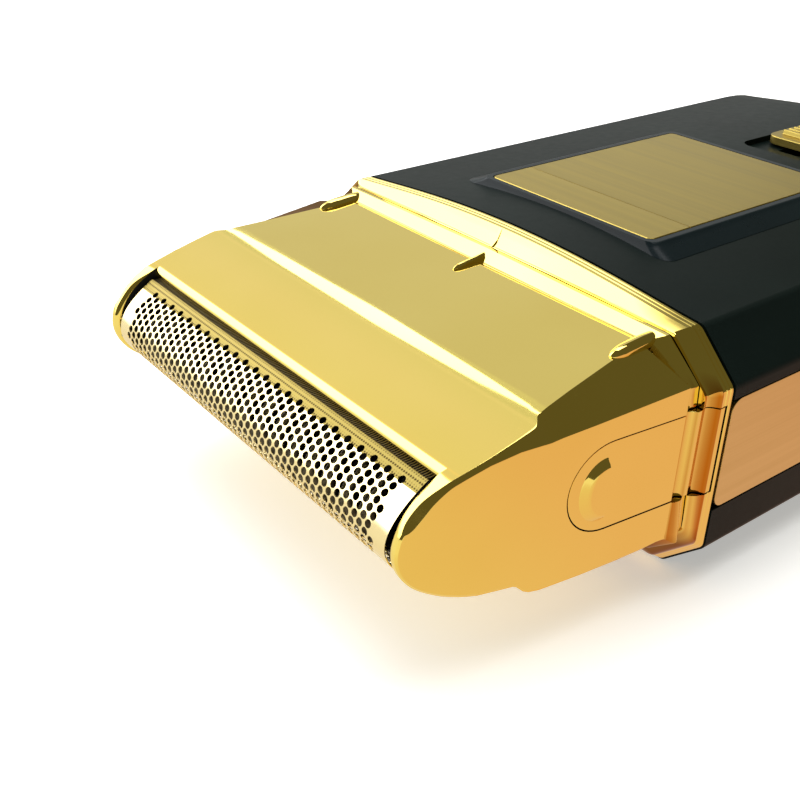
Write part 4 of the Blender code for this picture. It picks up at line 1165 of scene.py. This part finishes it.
def foil_tree(finish):
    """A sheet pierced by slanting rows of holes and bent over the arch."""
    tree, given, out = node_tree("pierced_foil", (
        ("Half length", "Float", 24.4), ("Half girth", "Float", 6.98),
        ("Pierced half length", "Float", 22.35), ("Pierced half girth", "Float", 6.08),
        ("Hole pitch", "Float", 1.9), ("Row pitch", "Float", 0.42), ("Row shift", "Float", 1.073),
        ("Hole radius", "Float", 0.39), ("Rows", "Int", 28), ("Columns", "Int", 27),
    ))
    link, new, given = tree.links.new, tree.nodes.new, given.outputs
    plus, minus, times = calculator(tree)
    # The holes: one point each, every row shifted on from the last.
    index = new("GeometryNodeInputIndex").outputs["Index"]
    points = new("GeometryNodePoints")
    link(times(given["Rows"], given["Columns"]), points.inputs["Count"])
    row_number = math_node(tree, "FLOOR", math_node(tree, "DIVIDE", index, given["Columns"]))
    column = minus(index, times(row_number, given["Columns"]))
    shift = math_node(tree, "MODULO", times(row_number, given["Row shift"]), given["Hole pitch"])
    left = minus(-1.55, given["Pierced half length"])
    x = plus(plus(times(column, given["Hole pitch"]), shift), left)
    middle = times(minus(given["Rows"], 1.0), 0.5)
    y = times(minus(row_number, middle), given["Row pitch"])
    link(combine(tree, x, y), points.inputs["Position"])
    inside = math_node(tree, "LESS_THAN", math_node(tree, "ABSOLUTE", x), given["Pierced half length"])
    keep = new("GeometryNodeSeparateGeometry")
    keep.domain = "POINT"
    link(points.outputs["Points"], keep.inputs["Geometry"])
    link(inside, keep.inputs["Selection"])
    hole = new("GeometryNodeCurvePrimitiveCircle")
    hole.inputs["Resolution"].default_value = 12
    link(given["Hole radius"], hole.inputs["Radius"])
    stamp = new("GeometryNodeInstanceOnPoints")
    link(keep.outputs["Selection"], stamp.inputs["Points"])
    link(hole.outputs["Curve"], stamp.inputs["Instance"])
    solid = new("GeometryNodeRealizeInstances")
    link(stamp.outputs["Instances"], solid.inputs["Geometry"])
    # The pierced part, filled between its own outline and the holes.
    whole_length = times(given["Half length"], 2.0)
    sheet = new("GeometryNodeCurvePrimitiveQuadrilateral")
    link(whole_length, sheet.inputs["Width"])
    link(times(given["Pierced half girth"], 2.0), sheet.inputs["Height"])
    fine = new("GeometryNodeResampleCurve")
    fine.mode = "LENGTH"
    fine.inputs["Length"].default_value = 0.4
    link(sheet.outputs["Curve"], fine.inputs["Curve"])
    both = new("GeometryNodeJoinGeometry")
    link(solid.outputs["Geometry"], both.inputs["Geometry"])
    link(fine.outputs["Curve"], both.inputs["Geometry"])
    fill = new("GeometryNodeFillCurve")
    fill.mode = "TRIANGLES"
    link(both.outputs["Geometry"], fill.inputs["Curve"])
    # The plain borders: a strip along each side of the pierced part.
    strip = new("GeometryNodeMeshGrid")
    strip.inputs["Vertices X"].default_value = 2
    strip.inputs["Vertices Y"].default_value = 10
    link(whole_length, strip.inputs["Size X"])
    link(minus(given["Half girth"], given["Pierced half girth"]), strip.inputs["Size Y"])
    reach = times(plus(given["Half girth"], given["Pierced half girth"]), 0.5)
    sheets = new("GeometryNodeJoinGeometry")
    link(fill.outputs["Mesh"], sheets.inputs["Geometry"])
    for side in (-1.0, 1.0):
        shifted = new("GeometryNodeTransform")
        link(strip.outputs["Mesh"], shifted.inputs["Geometry"])
        link(combine(tree, 0.0, times(reach, side)), shifted.inputs["Translation"])
        link(shifted.outputs["Geometry"], sheets.inputs["Geometry"])
    # Bend: X stays, Y becomes the way along the arch.
    arch = new("GeometryNodeCurveQuadraticBezier")
    ends = ARCH_CREST + ARCH_CURVE * ARCH_HALF**2
    arch.inputs["Resolution"].default_value = 96
    arch.inputs["Start"].default_value = (0, ends, ARCH_MID - ARCH_HALF)
    arch.inputs["Middle"].default_value = (0, 2 * ARCH_CREST - ends, ARCH_MID)
    arch.inputs["End"].default_value = (0, ends, ARCH_MID + ARCH_HALF)
    flat = new("ShaderNodeSeparateXYZ")
    link(new("GeometryNodeInputPosition").outputs["Position"], flat.inputs["Vector"])
    length = new("GeometryNodeCurveLength")
    link(arch.outputs["Curve"], length.inputs["Curve"])
    half_arch = times(length.outputs["Length"], 0.5)
    along = plus(half_arch, flat.outputs["Y"])
    # Past the arch's ends the sheet runs straight back, in under the lips.
    leg = minus(math_node(tree, "ABSOLUTE", flat.outputs["Y"]), half_arch)
    leg = math_node(tree, "MAXIMUM", leg, 0.0)
    sample = new("GeometryNodeSampleCurve")
    sample.mode = "LENGTH"
    sample.inputs["Curve Index"].default_value = 0
    link(arch.outputs["Curve"], sample.inputs["Curves"])
    link(along, sample.inputs["Length"])
    bent = new("ShaderNodeSeparateXYZ")
    link(sample.outputs["Position"], bent.inputs["Vector"])
    move = new("GeometryNodeSetPosition")
    link(sheets.outputs["Geometry"], move.inputs["Geometry"])
    drawn = plus(bent.outputs["Y"], leg)
    link(combine(tree, flat.outputs["X"], drawn, bent.outputs["Z"]), move.inputs["Position"])
    close_tree(tree, out, move.outputs["Geometry"], finish)
    return tree


def make_foil():
    """The pierced sheet, given its thickness, its inner face painted dark as painted shade inside the head."""
    foil = grow("foil_sheet", foil_tree(FINISHES["foil_gold"]), {"Half length": FOIL_HALF})
    outward(foil, 4, ARCH_MID)
    # The inner face takes the dark moulding finish: painted shade inside the head, seen through the holes.
    foil.data.materials.append(FINISHES["dark_plastic"])
    wall = foil.modifiers.new("thickness", "SOLIDIFY")
    wall.thickness, wall.offset = 0.09, -1
    wall.material_offset = 1
    settle(foil)
    foil.data.shade_smooth()
    foil.data.set_sharp_from_angle(angle=math.radians(40))
    place_piece(foil, "foil_unit", (), ("foil",))


def outward(made, y, z):
    """Turns an arched sheet's faces away from the line along X that it bends round."""
    bm = bmesh.new()
    bm.from_mesh(made.data)
    bmesh.ops.remove_doubles(bm, verts=bm.verts, dist=0.0002)
    bm.normal_update()
    for face in bm.faces:
        centre = face.calc_center_median()
        if face.normal.dot(Vector((0, centre.y - y, centre.z - z))) < 0:
            face.normal_flip()
    bm.to_mesh(made.data)
    bm.free()


def row_start(tree, count, pitch):
    """Where a row that is centred on the middle starts."""
    _, minus, times = calculator(tree)
    return times(times(minus(count, 1.0), pitch), -0.5)


def row_tree(name, finish, size):
    """Boxes of one size stood in a row along X."""
    tree, given, out = node_tree(name, (
        ("Count", "Int", 10), ("Pitch", "Float", 1.0), ("Place", "Vector", (0, 0, 0)),
        ("Size", "Vector", size),
    ))
    link, new, given = tree.links.new, tree.nodes.new, given.outputs
    line = new("GeometryNodeMeshLine")
    link(given["Count"], line.inputs["Count"])
    start = new("ShaderNodeVectorMath")
    start.operation = "ADD"
    link(given["Place"], start.inputs[0])
    link(combine(tree, row_start(tree, given["Count"], given["Pitch"])), start.inputs[1])
    link(start.outputs["Vector"], line.inputs["Start Location"])
    link(combine(tree, given["Pitch"]), line.inputs["Offset"])
    block = new("GeometryNodeMeshCube")
    link(given["Size"], block.inputs["Size"])
    stamp = new("GeometryNodeInstanceOnPoints")
    link(line.outputs["Mesh"], stamp.inputs["Points"])
    link(block.outputs["Mesh"], stamp.inputs["Instance"])
    close_tree(tree, out, stamp.outputs["Instances"], finish)
    return tree


def make_combs():
    """The fine comb in each gap between a lip and the foil, over a dark strip that is painted shade for the
    dark gap behind the teeth.
    """
    for name, z, turn in (("front", -1.0, 1), ("back", 2 * MID_Z + 1.0, -1)):
        tree = row_tree(f"comb_{name}", FINISHES["comb_steel"], (0.12, 2.0, 0.08))
        comb = grow(f"lip_comb_{name}", tree, {"Count": 158, "Pitch": 0.305, "Place": (0, -0.15, z)})
        outward_boxes(comb)
        place_piece(comb, "foil_unit", (FINISHES["comb_steel"],))
        # The dark strip is painted shade, put where the gap behind the teeth lies in shadow.
        low, high = sorted((z - 0.1 * turn, z - 0.3 * turn))
        strip = cube((-24.0, -1.05, low), (24.0, 1.2, high))
        finish_piece(raw_object(f"gap_shade_strip_{name}", strip), "foil_unit",
                     (FINISHES["dark_plastic"],), bevel=0.03, segments=1)


def outward_boxes(made):
    bm = bmesh.new()
    bm.from_mesh(made.data)
    bmesh.ops.recalc_face_normals(bm, faces=bm.faces)
    bm.to_mesh(made.data)
    bm.free()


def blade_tree(finish):
    """Pairs of arched blades in a row along X: one outline, pressed to a plate and repeated."""
    tree, given, out = node_tree("blade_row", (
        ("Pairs", "Int", 15), ("Pitch", "Float", 2.8), ("Thickness", "Float", 0.12),
        ("Spread", "Float", 0.42), ("Half height", "Float", 3.6), ("Crest", "Float", -4.8),
        ("Root", "Float", 3.0), ("Rise", "Float", 2.6),
    ))
    link, new, given = tree.links.new, tree.nodes.new, given.outputs
    plus, minus, times = calculator(tree)
    half, crest = given["Half height"], given["Crest"]
    # The outline, drawn with its crest along Z.
    arch = new("GeometryNodeCurveQuadraticBezier")
    arch.inputs["Resolution"].default_value = 20
    end = plus(crest, given["Rise"])
    link(combine(tree, 0.0, times(half, -1.0), end), arch.inputs["Start"])
    link(combine(tree, 0.0, 0.0, minus(crest, given["Rise"])), arch.inputs["Middle"])
    link(combine(tree, 0.0, half, end), arch.inputs["End"])
    mesh_line = new("GeometryNodeCurveToMesh")
    link(arch.outputs["Curve"], mesh_line.inputs["Curve"])
    pull = new("GeometryNodeExtrudeMesh")
    pull.mode = "EDGES"
    link(mesh_line.outputs["Mesh"], pull.inputs["Mesh"])
    link(combine(tree, 0.0, 0.0, given["Root"]), pull.inputs["Offset"])
    pull.inputs["Offset Scale"].default_value = 1.0
    thick = new("GeometryNodeExtrudeMesh")
    thick.mode = "FACES"
    thick.inputs["Individual"].default_value = False
    link(pull.outputs["Mesh"], thick.inputs["Mesh"])
    link(combine(tree, given["Thickness"]), thick.inputs["Offset"])
    thick.inputs["Offset Scale"].default_value = 1.0
    both = new("GeometryNodeJoinGeometry")
    link(thick.outputs["Mesh"], both.inputs["Geometry"])
    flipped = new("GeometryNodeFlipFaces")
    link(pull.outputs["Mesh"], flipped.inputs["Mesh"])
    link(flipped.outputs["Mesh"], both.inputs["Geometry"])
    weld = new("GeometryNodeMergeByDistance")
    weld.inputs["Distance"].default_value = 0.0005
    link(both.outputs["Geometry"], weld.inputs["Geometry"])
    line = new("GeometryNodeMeshLine")
    link(given["Pairs"], line.inputs["Count"])
    link(combine(tree, row_start(tree, given["Pairs"], given["Pitch"])), line.inputs["Start Location"])
    link(combine(tree, given["Pitch"]), line.inputs["Offset"])
    pair = new("GeometryNodeMeshLine")
    pair.inputs["Count"].default_value = 2
    link(combine(tree, times(given["Spread"], -0.5)), pair.inputs["Start Location"])
    link(combine(tree, given["Spread"]), pair.inputs["Offset"])
    first = new("GeometryNodeInstanceOnPoints")
    link(pair.outputs["Mesh"], first.inputs["Points"])
    link(weld.outputs["Geometry"], first.inputs["Instance"])
    stamp = new("GeometryNodeInstanceOnPoints")
    link(line.outputs["Mesh"], stamp.inputs["Points"])
    link(first.outputs["Instances"], stamp.inputs["Instance"])
    close_tree(tree, out, stamp.outputs["Instances"], finish)
    return tree


def make_cutter():
    """The cutter: a base bar and socket, and the row of blades."""
    blades = grow("cutter_blades", blade_tree(FINISHES["blade_steel"]), {})
    # The blades' crests are turned from Z to face the foil.
    for vertex in blades.data.vertices:
        x, across, along = vertex.co
        vertex.co = (x, along, MID_Z + across)
    outward_boxes(blades)
    plan = rounded_box((-20.2, MID_Z - 3.0), (20.2, MID_Z + 3.0), 0.8)
    bar = raw_object("cutter_bar", prism(plan, "Y", 1.8, 4.2))
    boss = rounded_box((-2.7, MID_Z - 2.7), (2.7, MID_Z + 2.7), 0.6)
    carve(bar, prism(boss, "Y", 4.0, 7.2), operation="UNION")
    carve(bar, prism(circle(0, MID_Z, 1.4), "Y", 2.8, 8.0))
    finish_piece(bar, "cutter", (FINISHES["blackened_steel"],), ("cutter_block",),
                 bevel=0.12, segments=2)
    place_piece(blades, "cutter", (FINISHES["blade_steel"],))


def make_tabs():
    """Small bright lugs that show at each end of the foil."""
    for name, side in (("left", -1), ("right", 1)):
        bm = bmesh.new()
        for z in (-6.15, -6.85):
            low, high = z - 0.12, z + 0.12
            part = rounded(((-5.25, low, 0.05), (-4.3, low, 0), (-4.3, high, 0), (-5.25, high, 0.05)), 3)
            prism(part, "X", *both_ways(side, 24.36, 24.75), bm=bm)
        tabs = raw_object(f"foil_lugs_{name}", bm)
        finish_piece(tabs, "foil_unit", (FINISHES["blade_steel"],), bevel=0.03, segments=2)


def make_springs():
    """Round-wire coils in place of the plain ones."""
    for name in sorted(n for n in frame["nodes"] if "spring" in n):
        low, high = (((corner - LIP) / MM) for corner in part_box(name))
        size, centre = high - low, (high + low) / 2
        across = name.startswith("release")
        axis, turns = (0, 4) if across else (1, 5)
        along = Vector((1, 0, 0)) if across else Vector((0, 1, 0))
        beside = Vector((0, 1, 0)) if across else Vector((1, 0, 0))
        radius, around = size.z / 2 - WIRE, 28
        rings = []
        for i in range(turns * around + 1):
            angle = 2 * math.pi * i / around
            out = beside * math.cos(angle) + Vector((0, 0, math.sin(angle)))
            middle = centre.copy()
            middle[axis] = mix(low[axis] + WIRE, high[axis] - WIRE, i / (turns * around))
            middle += out * radius
            rings.append([middle + out * WIRE * math.cos(b) + along * WIRE * math.sin(b)
                          for b in (2 * math.pi * k / 10 for k in range(10))])
        bm = bmesh.new()
        skin(bm, rings)
        members = frame["record"]["behaviour"]["bodies"]
        body = next(b for b, nodes in members.items() if name in nodes)
        coil = raw_object(f"{name}_wire", bm)
        finish_piece(coil, body, (FINISHES["spring_steel"],), (name,))
        held = centre.copy()
        if across:
            held.x = min(low.x, high.x, key=abs)
        else:
            held.y = high.y
        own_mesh(coil)


# The pieces that keep the frame's own shape


def paint_frame():
    slots = {}
    for entry in frame["record"]["materials"]:
        for node in entry.get("nodes", []):
            slots[node] = entry["slot"]
    for name, node in frame["nodes"].items():
        if node.hide_render:
            continue
        slot = slots.get(name) or node.data.materials[0].name
        slot = "brushed_plate" if slot == "brushed_gold" else slot
        finish = FINISHES.get(slot, FINISHES["grey_plastic"])
        node.data.materials.clear()
        node.data.materials.append(finish)


# The stage


def make_floor():
    """A pale floor, which the plating mirrors as a warm bounce beside the shaver and as a painted shadow under
    it.
    """
    bm = bmesh.new()
    bmesh.ops.create_grid(bm, x_segments=2, y_segments=2, size=3.0)
    mesh = bpy.data.meshes.new("floor")
    bm.to_mesh(mesh)
    bm.free()
    floor = bpy.data.objects.new("floor", mesh)
    bpy.context.scene.collection.objects.link(floor)
    floor.location.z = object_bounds()[0][2] - 0.0001
    made, tree, shader = nodes_of("pale_floor")
    link, new = tree.links.new, tree.nodes.new
    link(ramp(tree, noise(tree, (20, 20, 20)), ((0.3, (0.93, 0.93, 0.93)), (0.7, (0.95, 0.95, 0.95)))),
         shader.inputs["Base Color"])
    shader.inputs["Roughness"].default_value = 0.9
    shader.inputs["Specular IOR Level"].default_value = 0.1
    shader.inputs["Emission Color"].default_value = (1.0, 0.99, 0.97, 1)
    shader.inputs["Emission Strength"].default_value = 0.42
    x, y, _ = split(tree, new("ShaderNodeTexCoord").outputs["Object"])
    run = add(tree, "ShaderNodeMapRange")
    run.inputs["From Min"].default_value, run.inputs["From Max"].default_value = -0.09, 0.03
    link(y, run.inputs["Value"])
    warm = ramp(tree, run.outputs["Result"], (
        (0.0, (0.98, 0.92, 0.74)), (0.25, (0.86, 0.72, 0.50)), (0.55, (0.84, 0.56, 0.42)),
        (1.0, (0.80, 0.48, 0.34)),
    ))
    beside = add(tree, "ShaderNodeMapRange", interpolation_type="SMOOTHSTEP")
    beside.inputs["From Min"].default_value, beside.inputs["From Max"].default_value = 0.012, 0.034
    link(x, beside.inputs["Value"])
    # Only reflections see this emission. It is a painted reflection, warm beside the shaver and darkened to a
    # painted shadow under it.
    mirrored = new("ShaderNodeEmission")
    under = ramp(tree, run.outputs["Result"], (
        (0.0, (0.98, 0.95, 0.84)), (0.35, (0.90, 0.80, 0.62)), (0.62, (0.36, 0.22, 0.13)),
        (1.0, (0.16, 0.10, 0.06)),
    ))
    link(blend(tree, beside.outputs["Result"], under, warm), mirrored.inputs["Color"])
    choose, kind = new("ShaderNodeMixShader"), new("ShaderNodeLightPath")
    link(kind.outputs["Is Glossy Ray"], choose.inputs["Fac"])
    link(shader.outputs["BSDF"], choose.inputs[1])
    link(mirrored.outputs["Emission"], choose.inputs[2])
    link(choose.outputs["Shader"], tree.nodes["Material Output"].inputs["Surface"])
    mesh.materials.append(made)


def make_world():
    """A soft studio: one bright side with a long strip above it, and a dim side."""
    world = bpy.data.worlds.new("studio")
    bpy.context.scene.world = world
    world.use_nodes = True
    tree = world.node_tree
    link, new = tree.links.new, tree.nodes.new
    back = tree.nodes["Background"]
    x, y, z = split(tree, new("ShaderNodeTexCoord").outputs["Generated"])
    pitch = math_node(tree, "DIVIDE", math_node(tree, "ARCTAN2", z, y), math.pi)
    full = 3.6
    steps = (
        (0, (0.66, 0.66, 0.63)), (48.5, (0.66, 0.66, 0.63)), (50, (0.74, 0.76, 0.68)),
        (61.5, (0.74, 0.76, 0.68)), (63.5, (0.86, 0.84, 0.80)), (66, (0.80, 0.80, 0.74)),
        (68.5, (0.86, 0.83, 0.80)), (71, (0.86, 0.84, 0.76)), (73.5, (0.96, 0.86, 0.72)),
        (76, (1.2, 1.1, 0.9)), (80, (full, full, full)), (160, (full, full, full)),
        (180, (full / 2, full / 2, full / 2)),
    )
    walls = ramp(tree, pitch, [(degrees / 180, [v / full for v in value]) for degrees, value in steps])
    # The strip's width grows from both its ends to its middle.
    width = ramp(tree, math_node(tree, "MULTIPLY", x, -1.0), (
        (0.575, (0, 0, 0)), (0.64, (0.62, 0.62, 0.62)), (0.72, (1, 1, 1)), (0.79, (0.72, 0.72, 0.72)),
        (0.835, (0.2, 0.2, 0.2)),
    ))
    off = math_node(tree, "ABSOLUTE", math_node(tree, "SUBTRACT", pitch, 56.0 / 180))
    strip = math_node(tree, "LESS_THAN", off, math_node(tree, "MULTIPLY", width, 5.6 / 180))
    # A short bright end to the strip, which only the plating's rounded edges catch.
    tall = math_node(tree, "COMPARE", pitch, 66 / 180, 8 / 180)
    end = math_node(tree, "MULTIPLY", math_node(tree, "COMPARE", x, -0.30, 0.25), tall)
    bright = math_node(tree, "MAXIMUM", strip, end)
    dim = add(tree, "ShaderNodeMapRange")
    dim.inputs["From Min"].default_value, dim.inputs["From Max"].default_value = -0.49, -0.43
    link(x, dim.inputs["Value"])
    sides = blend(tree, dim.outputs["Result"], walls, (0.11 / full, 0.10 / full, 0.05 / full))
    seen = blend(tree, bright, sides, (1.0, 1.0, 1.0))
    # Straight from the camera, the surroundings are as plain and pale as the floor.
    direct = add(tree, "ShaderNodeLightPath").outputs["Is Camera Ray"]
    link(blend(tree, direct, seen, (1.0, 1.0, 1.0)), back.inputs["Color"])
    back.inputs["Strength"].default_value = full


def area_light(name, place, target, size, power, colour=(1, 1, 1), glossy=False):
    data = bpy.data.lights.new(name, "AREA")
    data.shape, data.size, data.size_y = "RECTANGLE", size[0], size[1]
    data.energy, data.color = power, colour
    made = bpy.data.objects.new(name, data)
    bpy.context.scene.collection.objects.link(made)
    made.location = place
    made.rotation_euler = (Vector(target) - Vector(place)).to_track_quat("-Z", "Y").to_euler()
    made.visible_glossy = glossy
    return made


def make_lights():
    area_light("overhead_softbox", (-0.1, 0.1, 0.9), (0, 0, 0), (0.9, 0.9), 9.0)


def make_camera():
    data = bpy.data.cameras.new("camera")
    made = bpy.data.objects.new("camera", data)
    bpy.context.scene.collection.objects.link(made)
    data.lens, data.sensor_width = 48.99, 36.0
    data.shift_x, data.shift_y = 0.01068, -0.00641
    data.clip_start = 0.001
    made.location = LIP + Vector((79.383, -47.901, 48.064)) * MM
    ahead, up = Vector((-0.68586, 0.53288, -0.49562)), Vector((-0.40421, 0.28737, 0.86835))
    right = ahead.cross(up).normalized()
    up = right.cross(ahead).normalized()
    turn = made.matrix_world.to_3x3()
    turn.col[0], turn.col[1], turn.col[2] = right, up, -ahead.normalized()
    made.rotation_euler = turn.to_euler()
    bpy.context.scene.camera = made


def main():
    make_head()
    make_flange()
    make_buttons()
    make_foil()
    make_combs()
    make_cutter()
    make_tabs()
    make_springs()
    make_casing()
    make_bezel()
    make_plate()
    make_inlays()
    make_knob()
    make_lens()
    make_socket()
    make_screws()
    paint_frame()
    make_floor()
    make_world()
    make_lights()
    make_camera()
    bpy.context.scene.view_settings.view_transform = "Standard"


main()
